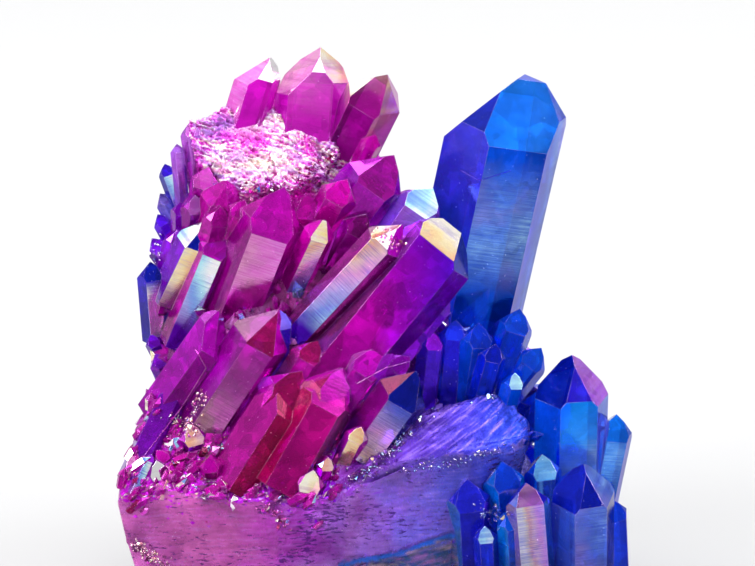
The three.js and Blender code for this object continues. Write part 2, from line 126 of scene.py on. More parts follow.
LEFT_POINTS = [
    quartz((-23.4, 20.2, 5), (-22, 11, 5), 2.6, 10, hue=0.3, pale=0.4, p0="grey", t0="lilac"),
    quartz((-25.1, 17.4, 4), (-24.3, 9, 4), 1.6, 20, hue=0.4, pale=0.5, p0="lilac"),
    quartz((-26.6, 14.9, 5), (-24.4, 9, 5), 2.2, 0, hue=0.7, tone=0.6, p0="silver"),
    quartz((-27.2, 11.2, 5), (-24.4, 6, 5), 2.2, 25, hue=0.76, tone=0.6, pale=0.4),
    quartz((-27.5, 8.6, 4), (-24.4, 3, 5), 2.1, 12, hue=0.6),
    quartz((-28.2, 5.6, 3), (-24.2, 0, 4), 2.8, 5, hue=0.5, p0="lilac"),
    quartz(
        (-28.4, 2.7, 1), (-27.6, -7, 3), 3.2, 14,
        hue=0.7, tone=0.7, t0="navy", p0=("cream", ((3, 0), (4, 1))), p1="rose",
    ),
    quartz((-28.4, -6.4, 1), (-26, -11, 3), 2.2, 0, hue=0.5),
    quartz((-27.8, -8.8, 0), (-25.4, -14, 2), 2.4, 20, hue=0.45),
    quartz((-24.9, 6.7, 1), (-26.6, 0, 3), 2.8, 30, hue=0.4, t0="lilac", p0="lilac", t5="lilac"),
    quartz(
        (-21.8, 7.2, -1), (-26.2, -2, 2), 4.2, 16, slants=(0.05, 0, 0.3, 0.2, 0.2, 0),
        hue=0.35, t0="navy", p0=("gold", ((0, 1), (8, 1), (10, 0.2))), t5="silver", t1="navy",
        p5="violet",
    ),
    quartz(
        (-19.4, 6.2, -2), (-25, -7.5, 1), 4.2, 4, slants=(0, 0.2, 0.1, 0.2, 0, 0.2),
        hue=0.2, p0=("silver", ((0, 1.1), (10, 1), (13, 0))), t0="plain", t1="plain",
    ),
    quartz((-21.1, 14.5, 1), (-22.2, 7, 4), 3.6, -10, hue=0.2, t0="rose"),
    quartz(
        (-18.8, 12.8, -1), (-21.4, 4, 3), 4.6, 10, slants=(0.1, 0, 0.2, 0, 0.1, 0),
        hue=0.08, tone=1.1,
    ),
    quartz((-22.8, 11, 0), (-23.4, 4, 4), 3, 24, hue=0.25, t0="lilac"),
    quartz((-24.6, 10.2, 1), (-24.6, 4, 4), 2.2, 5, hue=0.35),
    quartz((-19.6, 9.6, -3), (-21.8, 2, 1), 3.2, 28, hue=0.15, t5="rose"),
    quartz((-16.6, 10.4, -3), (-19.8, 2, 1), 3, 0, hue=0.1),
    quartz(
        (-12.3, 11.7, -3), (-20.4, -9.6, 1), 7.8, 12, sides=(1, 1.1, 1.1, 1, 0.9, 0.9),
        slants=(0, 0.25, 0.2, 0.2, 0, 0.15),
        hue=0.17, tone=0.9, t0="plain", t5="plain",
        p0=("satin_pink", ((2.5, 0), (3, 1), (12.5, 1), (14, 0))),
    ),
]

MIDDLE_POINTS = [
    quartz(
        (2.1, 16, 1), (-8, 3, 2), 7.2, 10, slants=(0, 0.2, 0, 0.2, 0, 0.1),
        hue=0.32, tone=1.1, p0="steel_purple", t0="wine", t5="steel_purple", p5="plain", p1="violet",
    ),
    quartz((-3.8, 13, -3), (-9, 3, 2), 4.2, 0, hue=0.12),
    quartz((-8.6, 11.2, -2), (-11, 2, 2), 4, 20, hue=0.1, t0="plain"),
    quartz(
        (-6.6, 7.8, -5), (-11.4, -2.4, -1), 3.4, 18, slants=(0, 0.1, 0.2, 0, 0.2, 0.1),
        hue=0.15, p0=("gold_to_blue", ((0, 1.2), (7, 1), (10, 0.5))), t0="gold", p5="plain",
    ),
    quartz((-1.4, 8.6, -3), (-6.6, 0, 1), 3.8, 8, hue=0.2, t0="dark"),
    quartz(
        (2.8, 7.1, -7), (-9.9, -6.6, -5), 4.6, -4, slants=(0.1, 0, 0.2, 0.3, 0.1, 0),
        hue=0.22, p0=("gold_to_blue", ((3, 1), (14, 0.9), (17, 0))), p5="rose", t0="white", t5="gold",
        p1="dark",
    ),
    quartz(
        (7, 11.8, -1), (1.6, 4, -2), 5.4, -4, slants=(0, 0.3, 0, 0.2, 0, 0.3),
        hue=0.5, pale=0.35, t0="cyan", p0="lilac", t5="lilac",
    ),
    quartz(
        (9.9, 6.7, -5.5), (-6.2, -13.2, -8.5), 9.8, 0, sides=(0.5, 0.75, 1, 1.3, 1, 0.8),
        slants=(0, 0.1, 0.3, 0, 0.3, 0.4),
        tone=0.95, t0="cream_gold", p1="violet", t1="navy", p5="rose",
    ),
    quartz((8.6, -0.4, -3), (-1.6, -13, -7), 5, 25, hue=0.5),
]

BIG_BLUE_POINT = quartz(
    (18.8, 26.5, 4), (11.3, -7, 6), 13.2, 15, sides=(1, 0.84, 0.85, 1, 1.16, 1.14),
    slants=(0, 0.2, 0.1, 0.2, 0, 0.24), blunt=1,
    hue=0.88, p0=("steel_blue", ((10, 0), (14, 0.6), (18, 1), (23, 0.9), (27, 0))), p5="violet_blue",
    t0="azure", t5="navy", p1="pale_edge", t1="slate",
)

LOWER_LEFT_POINTS = [
    quartz(
        (-19.8, -3.9, -8), (-28.4, -16, -6), 6.2, 18, sides=(1, 1.15, 1.2, 1, 0.5, 0.5),
        slants=(0, 0, 0.2, 0.1, 0.2, 0.1),
        hue=0.23, tone=1.15, p5="plain", p0="plain", t0="plain", t5="plain",
    ),
    quartz(
        (-12.8, -3.7, -9), (-22.6, -18.6, -8), 6.8, 14, sides=(1, 1, 1, 1, 0.9, 0.9),
        slants=(0.05, 0.1, 0.2, 0.2, 0.1, 0),
        hue=0.2, tone=0.9, t5="orange", t0="ruby", p5="plain",
        p0=("satin_rose", ((3, 0.3), (9, 0.8), (12, 2), (17, 2.6))),
    ),
    quartz((-12.2, -3.4, -8), (-12.8, -13, -6), 3, 30, hue=0.66, t0="lilac"),
    quartz((-9.4, -11, -11), (-19.3, -23, -9), 5.6, 12, hue=0.0, tone=0.9, t0="ruby", p0="ruby"),
    quartz(
        (-4.2, -10.6, -11), (-13.6, -24, -10), 6, 28,
        hue=0.0, tone=0.9, p5="ruby", p0="plain", t0="plain", t5="ruby",
    ),
    quartz((-7.4, -7.2, -9), (-12.4, -15, -8), 3.8, 6, hue=0.08, tone=0.85, t0="ruby"),
    quartz((0.4, -8.2, -10), (-6.5, -18, -8), 5, 0, hue=0.22, t5="rose"),
    quartz((4.1, -9.2, -11), (-5, -15.4, -9), 3.4, 10, hue=0.35),
    quartz(
        (5, -11.3, -13), (-1.9, -21, -11), 5.8, 10, slants=(0, 0.1, 0, 0.2, 0.1, 0.1),
        hue=0.3, tone=0.8, t0="navy", p5="wine", t5="ruby", t1="navy", p1="navy",
        p0=("striped_gold", ((0, 0), (4, 0.3), (7.5, 1), (9, 0.8))),
    ),
    quartz((-2, -18, -15), (-4.5, -23, -12), 2.6, 0, hue=0.2, t0="gold", p0="gold"),
    quartz((-8, -23.4, -17), (-10, -29, -13), 3.6, 10, hue=0.2, t0="gold", t5="rose", p0="rose"),
    quartz((-6.2, -21.8, -16), (-7.5, -26, -13), 2.1, 25, hue=0.2, t0="peach"),
    quartz((-18, -26.6, -17), (-17.4, -31, -13), 1.9, 18, hue=0.2, t0="white", p0="white"),
    quartz((-23.4, -17.6, -12), (-23, -23, -10), 3.4, 24, hue=0.25, t0="peach"),
    quartz((-27.6, -22.2, -14), (-26.6, -27, -11), 3, 8, hue=0.3, t0="white"),
    quartz((-21, -21.6, -15), (-20.2, -27, -12), 2.6, 0, hue=0.15),
    quartz((-14.6, -23, -15), (-15.6, -28, -12), 2.8, 14, hue=0.1),
]

BLUE_POINTS = [
    quartz((6.9, -6.1, -6), (5.6, -17, -6), 3, 18, hue=0.67, tone=1.8, t0="violet", p0="plain"),
    quartz((9.8, -4.6, -5), (8.6, -16, -5), 3.4, 0, hue=0.76, tone=1.6, p0="plain", t0="plain"),
    quartz((12.6, -5, -6), (10.9, -16, -5), 4, 22, hue=0.85, tone=1.8, p0="plain", p5="plain"),
    quartz((14.8, -7.6, -8), (12.4, -16, -7), 3, 6, hue=0.8, t0="navy"),
    quartz((17.8, -3.2, -2), (14, -14, -3), 4.4, 10, hue=0.88, tone=1.3),
    quartz((20.5, -8.1, -3), (14.5, -15.5, -3), 4, 5, hue=0.88, tone=1.4),
    quartz((17.2, -11.2, -9), (15.6, -17, -8), 2.6, 28, hue=0.9, t0="cyan"),
]

RIGHT_POINTS = [
    quartz(
        (24.4, -9.3, -8), (23.9, -30, -7), 8, 8, slants=(0.12, 0, 0.2, 0.1, 0.2, 0),
        hue=0.95, t5="navy", p5="deep_blue", t1="mauve", p1="steel_blue",
        p0=("glow", ((4, 0), (9, 0.15), (13, 1), (17, 0.7))), t0="indigo",
    ),
    quartz(
        (29.9, -16.4, -8), (27.5, -28, -7), 4.4, 12,
        hue=0.94, p0=("cyan_blue", ((2, 0.2), (4, 1.5), (9, 1))), p1="grey", p5="cyan_blue",
    ),
    quartz((27.9, -16.2, -10), (27, -24, -9), 2.1, 0, hue=0.9, pale=0.3),
    quartz(
        (25.7, -23, -17), (25.7, -44, -12), 6.8, 10, slants=(0.12, 0.05, 0.2, 0.1, 0.2, 0),
        hue=0.82, p0="slate", p5="slate", t0="navy", t5="navy", t1="slate",
    ),
    quartz(
        (18.6, -25, -19), (20, -42, -14), 4.6, 3, sides=(0.75, 1, 1, 0.75, 1, 1),
        hue=0.75, p0="sunset", t0="dusk", t5="slate", p1="cyan_blue", p5="peach",
    ),
    quartz((29.2, -27, -13), (30, -44, -9), 3.6, 20, hue=0.86),
    quartz((20.6, -21.4, -13), (21, -36, -10), 4, 6, hue=0.9, p0="cyan_blue", t0="glow"),
    quartz((16.4, -28.6, -18), (17, -40, -14), 2.8, 18, hue=0.92, tone=1.2),
    quartz((13.4, -30.4, -18), (14, -40, -14), 2.6, 0, hue=0.78, t0="cyan"),
    quartz(
        (15.6, -22.3, -15), (16.5, -38, -11), 4.6, 12,
        hue=0.93, tone=1.2, p0="deep_blue", t0="deep_blue",
    ),
    quartz((11.2, -24.5, -16), (11.9, -38, -12), 5, 5, hue=0.78, p5="cyan_blue", p0="plain"),
]

# The ends' points, which are out of the sight from in front.
SIDE_POINTS = [quartz(*row, where=placed) for row in (
    ((24, 5, 27.5), (14, 3, 19), 5.6, 20),
    ((29, 3, 20), (16, 2, 14), 6.4, 8),
    ((30, 9, 9.5), (16, 6, 6), 6.6, 35),
    ((25, 13, 25), (14, 8, 17), 5.2, 50),
    ((17.5, 13, 35), (12, 7, 26), 5, 12),
    ((28, 15, 16), (16, 9, 12), 5.4, 28),
    ((-31.5, -4, 17), (-22, -3, 12), 5, 15),
    ((-28.5, 5, 27), (-21, 3, 20), 5, 40),
    ((-30, 8, 13), (-21, 6, 9), 6, 5),
    ((-29, 2, 35), (-22, 2, 28), 4.2, 22),
    ((-28.5, 9, 35), (-21, 6, 28), 4.4, 30),
)]

# The rows of points on the back, each (height, reach, points, steepness, bearing, wide).
BACK_ROWS = [
    (9, 9, 7, 18, (-8, 186), 6.4),
    (19, 9, 7, 32, (8, 172), 5.6),
    (29, 8, 6, 46, (28, 168), 6.2),
    (39, 7, 5, 56, (62, 176), 5),
    (48, 5.5, 4, 66, (80, 168), 4.6),
]
BACK_MIDDLE = (-2, 5)
BACK_SPAN = (15.4, 8.4)
BACK_LEAN = 0.12
BACK_PEAK = 110
BACK_BURIED = 6
BACK_STRAY_HEIGHT, BACK_STRAY_STEEPNESS, BACK_STRAY_SPACING = 4, 16, 0.6
BACK_LEAST_REACH, BACK_REACH_SPREAD = 0.8, 0.5
BACK_LEAST_WIDE, BACK_WIDE_SPREAD = 0.75, 0.5
BACK_SLANT = 0.3
BACK_SEED = 11
LARGEST_SPIN = 60

DRUSE_COUNT = 34
DRUSE_START = (-29, -19.5, -8.8)
DRUSE_END = (-9.5, -27.5, -14.3)
DRUSE_FORWARD, DRUSE_UP = -0.75, 0.9
DRUSE_LENGTH = (2.4, 3.8)
DRUSE_WIDE = (1.3, 2.6)
DRUSE_SEED = 5
DRUSE_HUE, DRUSE_TONE = 0.08, 1.1


def number_stream(seed):
    """The part's source has the same repeatable numbers between 0 and 1."""
    state = seed
    while True:
        state = (state * 1664525 + 1013904223) % 2**32
        yield state / 2**32


def back_point(numbers, row, index):
    height, reach, count, steepness, bearing, wide = row
    share = (index + BACK_STRAY_SPACING * (next(numbers) - 0.5)) / (count - 1)
    turn = math.radians(lerp(*bearing, share))
    climb = math.radians(steepness + BACK_STRAY_STEEPNESS * (next(numbers) - 0.5))
    lift = height + BACK_STRAY_HEIGHT * (next(numbers) - 0.5)
    narrowing = 1 - height / BACK_PEAK
    foot = np.array((
        BACK_MIDDLE[0] - height * BACK_LEAN + BACK_SPAN[0] * narrowing * math.cos(turn),
        BACK_MIDDLE[1] + BACK_SPAN[1] * narrowing * math.sin(turn),
        lift,
    ))
    length = reach * (BACK_LEAST_REACH + BACK_REACH_SPREAD * next(numbers)) + BACK_BURIED
    level = math.cos(climb)
    out = np.array((math.cos(turn) * level, math.sin(turn) * level, math.sin(climb)))
    across = wide * (BACK_LEAST_WIDE + BACK_WIDE_SPREAD * next(numbers))
    spin = LARGEST_SPIN * next(numbers)
    slants = [BACK_SLANT * next(numbers) if side % 2 else 0 for side in range(SIDES)]
    return quartz(foot + out * length, foot, across, spin, slants=slants, where=placed)


def back_points():
    numbers = number_stream(BACK_SEED)
    return [back_point(numbers, row, index) for row in BACK_ROWS for index in range(row[2])]


def druse_points():
    numbers = number_stream(DRUSE_SEED)
    made = []
    for _ in range(DRUSE_COUNT):
        along, drop = next(numbers), next(numbers)
        shares = (along, drop, drop)
        foot = sighted([lerp(*ends) for ends in zip(DRUSE_START, DRUSE_END, shares)])
        out = unit(np.array((next(numbers) - 0.5, DRUSE_FORWARD * next(numbers), DRUSE_UP)))
        tip = foot + out * lerp(*DRUSE_LENGTH, next(numbers))
        wide = lerp(*DRUSE_WIDE, next(numbers))
        spin = LARGEST_SPIN * next(numbers)
        made.append(quartz(tip, foot, wide, spin, where=placed, hue=DRUSE_HUE, tone=DRUSE_TONE))
    return made


# Points that the solid has no room for: they lie on its ledge, partly sunk in, and are joined into a
# piece of their own.
LEDGE_POINTS = [
    quartz(
        (-24.4, -12.4, -6.2), (-30.4, -25, -12.2), 4.2, 44,
        hue=0.4, tone=0.8, p5="plain", p0="plain", p1="wine",
    ),
    quartz((-28.2, -21.4, -12.6), (-30.6, -26.4, -14.4), 1.5, 10, hue=0.4, p0="silver", p5="lilac"),
    quartz((-29.6, -21.2, -12), (-31.2, -24.4, -13), 1.7, 20, hue=0.1, p0="blush", p5="blush"),
    quartz((-25.6, -22.6, -13.6), (-27.2, -27, -15), 1.3, 30, hue=0.05, p0="peach"),
    quartz(
        (-10.2, -12.4, -10.8), (-18.4, -25.4, -13.6), 6.4, 22, sides=(1, 1, 1, 1, 1, 0.8),
        hue=-0.03, tone=0.85, p0="crimson", p5="plain", t0="crimson", t5="plain",
    ),
    quartz(
        (-4.9, -11.8, -10.6), (-12.6, -25.6, -14.6), 6.4, 8,
        hue=-0.05, tone=0.95, p0="plain", p5="crimson", t0="plain",
    ),
]

POINTS = [
    *TOP_POINTS, *LEFT_POINTS, *MIDDLE_POINTS, BIG_BLUE_POINT, *LOWER_LEFT_POINTS, *BLUE_POINTS,
    *RIGHT_POINTS, *druse_points(), *SIDE_POINTS, *back_points(),
]
ALL_POINTS = [*POINTS, *LEDGE_POINTS]

# ---------------------------------------------------------------- which face is which

FACES_PER_POINT = 2 * SIDES + 1
SAME_PLANE = 0.02
SAME_WAY = 0.5
FAR = 1e6
TRIANGLES_AT_ONCE = 512

# The labels of triangles that are on no crystal's face.
ROUGH_LABEL, UNDERSIDE_LABEL = -1, -2


def axis_and_front(point):
    axis = unit(point["tip"] - point["foot"])
    front = np.array((0, -SIGHT_LEVEL, SIGHT_DROP))
    return axis, unit(front - axis * front.dot(axis))


def planes_of(point):
    """The 13 planes that bound a point: prism side and tip face in turn, and the broken tip."""
    axis, front = axis_and_front(point)
    right = np.cross(axis, front)
    half = point["wide"] / 2
    rows = []
    for side in range(SIDES):
        turn = math.radians(point["spin"] + side * 360 / SIDES)
        outward = front * math.cos(turn) + right * math.sin(turn)
        rows.append((*outward, outward.dot(point["foot"]) + point["sides"][side] * half))
        slanted = outward * math.sin(TIP_FACE_ANGLE) + axis * math.cos(TIP_FACE_ANGLE)
        rows.append((*slanted, slanted.dot(point["tip"]) + point["slants"][side] * half))
    length = axis.dot(point["tip"]) - point["blunt"] if point["blunt"] else FAR
    rows.append((*axis, length))
    return rows


def labels_of(triangles):
    """For each triangle, the number of its plane among all the points' planes, or ROUGH_LABEL."""
    planes = np.array([planes_of(point) for point in POINTS]).reshape(-1, 4)
    normals = np.cross(triangles[:, 1] - triangles[:, 0], triangles[:, 2] - triangles[:, 0])
    normals /= np.maximum(np.linalg.norm(normals, axis=1), TINY_AREA)[:, None]
    labels = np.full(len(triangles), ROUGH_LABEL)
    for start in range(0, len(triangles), TRIANGLES_AT_ONCE):
        block = slice(start, start + TRIANGLES_AT_ONCE)
        away = np.abs(triangles[block] @ planes[:, :3].T - planes[:, 3]).max(axis=1)
        away[normals[block] @ planes[:, :3].T < SAME_WAY] = np.inf
        best = away.argmin(axis=1)
        near = away[np.arange(len(best)), best] < SAME_PLANE
        labels[block] = np.where(near, best, ROUGH_LABEL)
    return labels


# ---------------------------------------------------------------- colours of the faces

# The inside of the quartz, from crimson below 0 through magenta at 0.1 to azure at 1.
HUE_STOPS = (-0.12, 0.0, 0.12, 0.3, 0.5, 0.64, 0.78, 0.9, 1.0)
HUE_COLOURS = (
    (0.55, 0.0006, 0.035),
    (0.82, 0.0080, 0.720),
    (0.72, 0.0008, 0.470),
    (0.44, 0.0008, 0.600),
    (0.22, 0.0015, 0.820),
    (0.08, 0.0060, 0.900),
    (0.004, 0.0250, 0.920),
    (0.0006, 0.070, 0.950),
    (0.0006, 0.270, 1.000),
)

# The metal film on a bright face, from gold at 0 through pink and lilac to cyan and white at 1.
FILM_STOPS = (0.0, 0.07, 0.14, 0.24, 0.38, 0.55, 0.7, 0.86, 1.0)
FILM_COLOURS = (
    (1.00, 0.97, 0.80),
    (1.00, 0.84, 0.42),
    (0.95, 0.50, 0.26),
    (0.96, 0.64, 0.60),
    (0.95, 0.42, 0.80),
    (0.66, 0.50, 0.95),
    (0.22, 0.38, 0.84),
    (0.50, 0.88, 0.98),
    (0.98, 0.97, 0.98),
)

# How much of the film is left at some mm below the tip, where a face's look names no fade.
FILM_FADE = ((0, 1), (16, 0.5))


class Finish(NamedTuple):
    """One look of a face. Its hue is the inside's colour, and None is the crystal's own. The film goes
    from tip to foot and slides across the face, and cover is how much of it there is."""

    hue: float | None = None
    tone: float = 1.0
    tip: float = 0.5
    foot: float = 0.5
    slide: float = 0.0
    cover: float = 0.0
    mirror: float = 0.0


FINISHES = {
    "plain": Finish(mirror=0.03),
    "white": Finish(tip=1.12, foot=1.12, cover=1.8, mirror=0.75),
    "cream": Finish(tip=-0.08, foot=0.03, slide=0.04, cover=1.8, mirror=0.75),
    "gold": Finish(tip=0.0, foot=0.14, slide=0.06, cover=1.5, mirror=0.7),
    "orange": Finish(hue=0.05, tone=0.55, tip=0.46, foot=-0.6, slide=-0.08, cover=0.2),
    "cream_gold": Finish(tip=-0.1, foot=0.9, slide=0.04, cover=1.8, mirror=0.1),
    "striped_gold": Finish(hue=0.7, tone=0.6, tip=0.95, foot=0.0, slide=0.1, cover=1.0, mirror=0.45),
    "amber": Finish(hue=0.0, tip=0.03, foot=0.34, slide=0.12, cover=0.9, mirror=0.15),
    "peach": Finish(tip=0.2, foot=0.3, slide=0.1, cover=1.1, mirror=0.55),
    "blush": Finish(hue=0.06, tip=0.36, foot=0.3, slide=0.08, cover=0.95, mirror=0.25),
    "silver": Finish(hue=0.5, tip=1.0, foot=0.6, slide=0.2, cover=1.5, mirror=0.7),
    "ember": Finish(hue=-0.03, tone=0.5, tip=0.03, foot=0.4, slide=0.1, cover=0.6),
    "pale_edge": Finish(hue=0.8, tip=0.95, foot=0.75, slide=0.3, cover=0.6, mirror=0.5),
    "crimson": Finish(hue=-0.1, tone=0.95),
    "wine": Finish(hue=0.02, tone=0.5, mirror=0.05),
    "rose": Finish(tone=1.1, tip=0.4, foot=0.3, slide=0.08, cover=0.25, mirror=0.4),
    "lilac": Finish(tip=0.5, foot=0.36, slide=0.12, cover=0.4, mirror=0.5),
    "grey": Finish(tip=0.6, foot=0.45, slide=0.15, cover=0.4, mirror=0.45),
    "cyan": Finish(hue=0.9, tip=0.84, foot=0.94, slide=0.08, cover=1.1, mirror=0.6),
    "mauve": Finish(hue=0.4, tip=0.42, foot=0.5, cover=0.5, mirror=0.3),
    "gold_to_blue": Finish(hue=0.6, tip=0.0, foot=0.78, slide=0.15, cover=1.2, mirror=0.6),
    "satin_pink": Finish(hue=0.02, tip=0.43, foot=0.34, slide=0.04, cover=0.6, mirror=0.9),
    "satin_rose": Finish(hue=0.2, tip=0.42, foot=0.3, slide=0.08, cover=0.2, mirror=0.22),
    "steel_purple": Finish(hue=0.25, tip=0.4, foot=0.7, slide=0.1, cover=0.06, mirror=0.3),
    "steel_blue": Finish(hue=0.92, tone=1.05, tip=0.62, foot=0.72, slide=0.05, cover=0.9, mirror=0.28),
    "slate": Finish(hue=0.84, tone=0.8, tip=0.68, foot=0.62, slide=0.1, cover=0.7, mirror=0.45),
    "sunset": Finish(hue=0.8, tip=0.2, foot=0.18, slide=0.45, cover=1.1, mirror=0.55),
    "dusk": Finish(hue=0.4, tone=0.5, tip=0.3, foot=0.5, slide=0.2, cover=0.3, mirror=0.3),
    "glow": Finish(hue=1.0, tip=0.85, foot=0.88, slide=0.05, cover=0.5, mirror=0.25),
    "deep_blue": Finish(hue=0.86, tone=1.1, mirror=0.05),
    "cyan_blue": Finish(hue=0.96, tip=0.84, foot=0.72, cover=0.4, mirror=0.45),
    "violet": Finish(hue=0.46, mirror=0.05),
    "violet_blue": Finish(hue=0.68, tip=0.6, foot=0.7, cover=0.1, mirror=0.1),
    "azure": Finish(hue=0.97, tone=0.85, tip=0.8, foot=0.8, cover=0.03, mirror=0.05),
    "indigo": Finish(hue=0.7, tone=0.5, mirror=0.1),
    "navy": Finish(hue=0.78, tone=0.45, mirror=0.15),
    "dark": Finish(tone=0.35, mirror=0.05),
    "ruby": Finish(hue=-0.09, tone=0.75),
}

# The finishes drawn for faces that the lists give none, and how often, on a listed point and on others.
STRAY_FINISHES = ("rose", "lilac", "gold", "dark", "dark", "cyan")
STRAY_SHARE, BACK_STRAY_SHARE = 0.09, 0.17
HUE_SCATTER = 0.05
LEAST_TONE, TONE_SPREAD = 0.8, 0.4
PALE_COVER = 0.7

# The hue along the cluster, at places in mm from left to right, high up and low down.
HIGH_PLACES, HIGH_HUES = (-25, -10, 0, 6, 11, 16, 30), (0.2, 0.12, 0.19, 0.44, 0.66, 0.84, 0.9)
LOW_PLACES, LOW_HUES = (-28, -18, -8, 0, 8, 15, 30), (0.26, 0.3, 0.42, 0.56, 0.7, 0.82, 0.86)
LOW_TOP, HIGH_FOOT = 20, 32


def ramp(values, stops, colours):
    table = np.array(colours)
    return np.stack([np.interp(values, stops, table[:, channel]) for channel in range(3)], axis=-1)


def place_hue(places):
    """The hue that a place in the cluster has: magenta on the left, violet, then blue on the right."""
    x, z = places[..., 0], places[..., 2]
    high = np.interp(x, HIGH_PLACES, HIGH_HUES)
    low = np.interp(x, LOW_PLACES, LOW_HUES)
    return lerp(low, high, np.clip((z - LOW_TOP) / (HIGH_FOOT - LOW_TOP), 0, 1))


def hue_at(place):
    return float(place_hue(place[None])[0])


def face_finish(label):
    """The look of one crystal face: its own finish if the lists name one, or one drawn for its label."""
    look = ALL_POINTS[label // FACES_PER_POINT]["look"]
    plane = label % FACES_PER_POINT
    draw = np.random.default_rng(int(label))
    finish = look.get(("t" if plane % 2 else "p") + str(plane // 2))
    if finish is None and draw.random() < (STRAY_SHARE if look else BACK_STRAY_SHARE):
        finish = str(draw.choice(STRAY_FINISHES))
    fade = FILM_FADE
    if isinstance(finish, tuple):
        finish, fade = finish
    found = FINISHES[finish or "plain"]
    if found.hue is None and "hue" in look:
        found = found._replace(hue=look["hue"] + HUE_SCATTER * (draw.random() - 0.5))
    return found._replace(
        tone=found.tone * look.get("tone", 1) * (LEAST_TONE + TONE_SPREAD * draw.random()),
        cover=max(found.cover, look.get("pale", 0) * PALE_COVER),
    ), np.array(fade, float)


# ---------------------------------------------------------------- the broken quartz

# The kinds of broken quartz: the matrix's front, its rough patch, the step under it, its curved
# break, the broken top, the ledge of small crystals, and the rest.
SLAB, PITTED, STEP, CURVED, TOP, LEDGE, MASS = range(7)

# Where each kind lies, in mm: places as the lists have them, and across and rise as seen from in front.
# UP is the least or the most that a face looks upwards there, from 0 to 1.
FRONT_DEPTH, FRONT_TOP, FRONT_UP = -8, 26, 0.4
PITTED_ACROSS, PITTED_RISE = (-12.5, -4), (-35, -26.5)
STEP_ACROSS = (-5, 11)
STEP_EDGE = ((-5, 3, 9), (-35, -33.4, -31.2))
CURVED_LEFT, CURVED_HEIGHT, CURVED_DEPTH, LEVEL_UP = -7, (12, 34), -5, 0.3
LEDGE_RIGHT, LEDGE_TOP, LEDGE_DEPTH, LEDGE_FOOT = -5, 32, -6, -30.5
TOP_RIGHT, TOP_FOOT, TOP_DEPTH = 1, 49, 14


class Break(NamedTuple):
    """How one kind of broken quartz looks. The grain runs across and up, and drawn under 1 stretches it
    that way. The surface has a slow swell and a finer grain in mm, with the grain's size along and
    across it, and how much of it is sharp ridges. cover and mirror are the film's, and dashes is how
    thick the short dark dashes lie."""

    across: float
    up: float
    drawn: float
    swell: float
    height: float
    long: float
    short: float
    ridged: float
    cover: float
    mirror: float
    dashes: float


BREAKS = {
    SLAB: Break(1.0, 0.05, 1.0, 0.3, 0.12, 1.4, 0.45, 0.3, cover=0.8, mirror=0.15, dashes=0.07),
    PITTED: Break(1.0, 0.0, 1.0, 0.25, 0.22, 1.3, 0.4, 0.6, cover=0.7, mirror=0.1, dashes=0.15),
    STEP: Break(0.96, 0.28, 0.5, 0.2, 0.12, 2.0, 0.6, 0.5, cover=0.9, mirror=0.2, dashes=0.06),
    CURVED: Break(0.86, 0.51, 0.16, 0.25, 0.1, 1.0, 0.7, 0.3, cover=0.7, mirror=0.2, dashes=0.02),
    TOP: Break(0.93, -0.37, 0.45, 0.5, 0.42, 0.8, 0.34, 0.9, cover=0.7, mirror=0.3, dashes=-0.2),
    LEDGE: Break(0.8, 0.6, 1.0, 0.4, 0.3, 1.0, 0.8, 0.6, cover=0.0, mirror=0.2, dashes=-0.2),
    MASS: Break(0.3, 0.95, 1.0, 0.45, 0.25, 1.4, 0.9, 0.5, cover=0.1, mirror=0.05, dashes=-0.2),
}
STEP_SUNK = 0.7
SWELL_SCALE = 0.16
RIDGE_SHARPNESS = 2.2
FRACTAL_FADE, FRACTAL_STEP = 1.0, 2.0


def break_trait(name, kinds):
    return np.array([getattr(look, name) for look in BREAKS.values()])[kinds]


def between(values, limits):
    return (values > limits[0]) & (values < limits[1])


def seen_at(places):
    """Where places are seen from in front: across and rise in mm, as the crystal lists have them."""
    lift = places[..., 2] - SIGHT_HEIGHT
    closeness = SIGHT_DISTANCE / (SIGHT_DISTANCE + places[..., 1] * SIGHT_LEVEL - lift * SIGHT_DROP)
    return places[..., 0] * closeness, (places[..., 1] * SIGHT_DROP + lift * SIGHT_LEVEL) * closeness


def step_edge(across):
    """How high the step's upper edge is seen."""
    return np.interp(across, *STEP_EDGE)


def away_from_line(across, rise, line):
    """How far places, as seen from in front, are from a line."""
    nearest = np.full(len(across), np.inf)
    for (x0, z0), (x1, z1) in zip(line, line[1:]):
        length_squared = (x1 - x0) ** 2 + (z1 - z0) ** 2
        share = np.clip(((across - x0) * (x1 - x0) + (rise - z0) * (z1 - z0)) / length_squared, 0, 1)
        away = np.hypot(across - x0 - share * (x1 - x0), rise - z0 - share * (z1 - z0))
        nearest = np.minimum(nearest, away)
    return nearest


def zones(places, normals):
    """Which kind of broken quartz lies at each place."""
    x, y, z = places.T
    up = normals[:, 2]
    across, rise = seen_at(places)
    found = np.full(len(places), MASS)
    front = (z < FRONT_TOP) & (y < FRONT_DEPTH) & (up < FRONT_UP)
    found[front] = SLAB
    found[front & between(across, PITTED_ACROSS) & between(rise, PITTED_RISE)] = PITTED
    found[front & between(across, STEP_ACROSS) & (rise < step_edge(across))] = STEP
    found[(x > CURVED_LEFT) & between(z, CURVED_HEIGHT) & (y < CURVED_DEPTH) & (up > LEVEL_UP)] = CURVED
    on_ledge = (z < LEDGE_TOP) & (y < LEDGE_DEPTH) & (up > LEVEL_UP)
    found[on_ledge & (across < LEDGE_RIGHT) & (rise > LEDGE_FOOT)] = LEDGE
    found[(x < TOP_RIGHT) & (z > TOP_FOOT) & (y < TOP_DEPTH)] = TOP
    return found


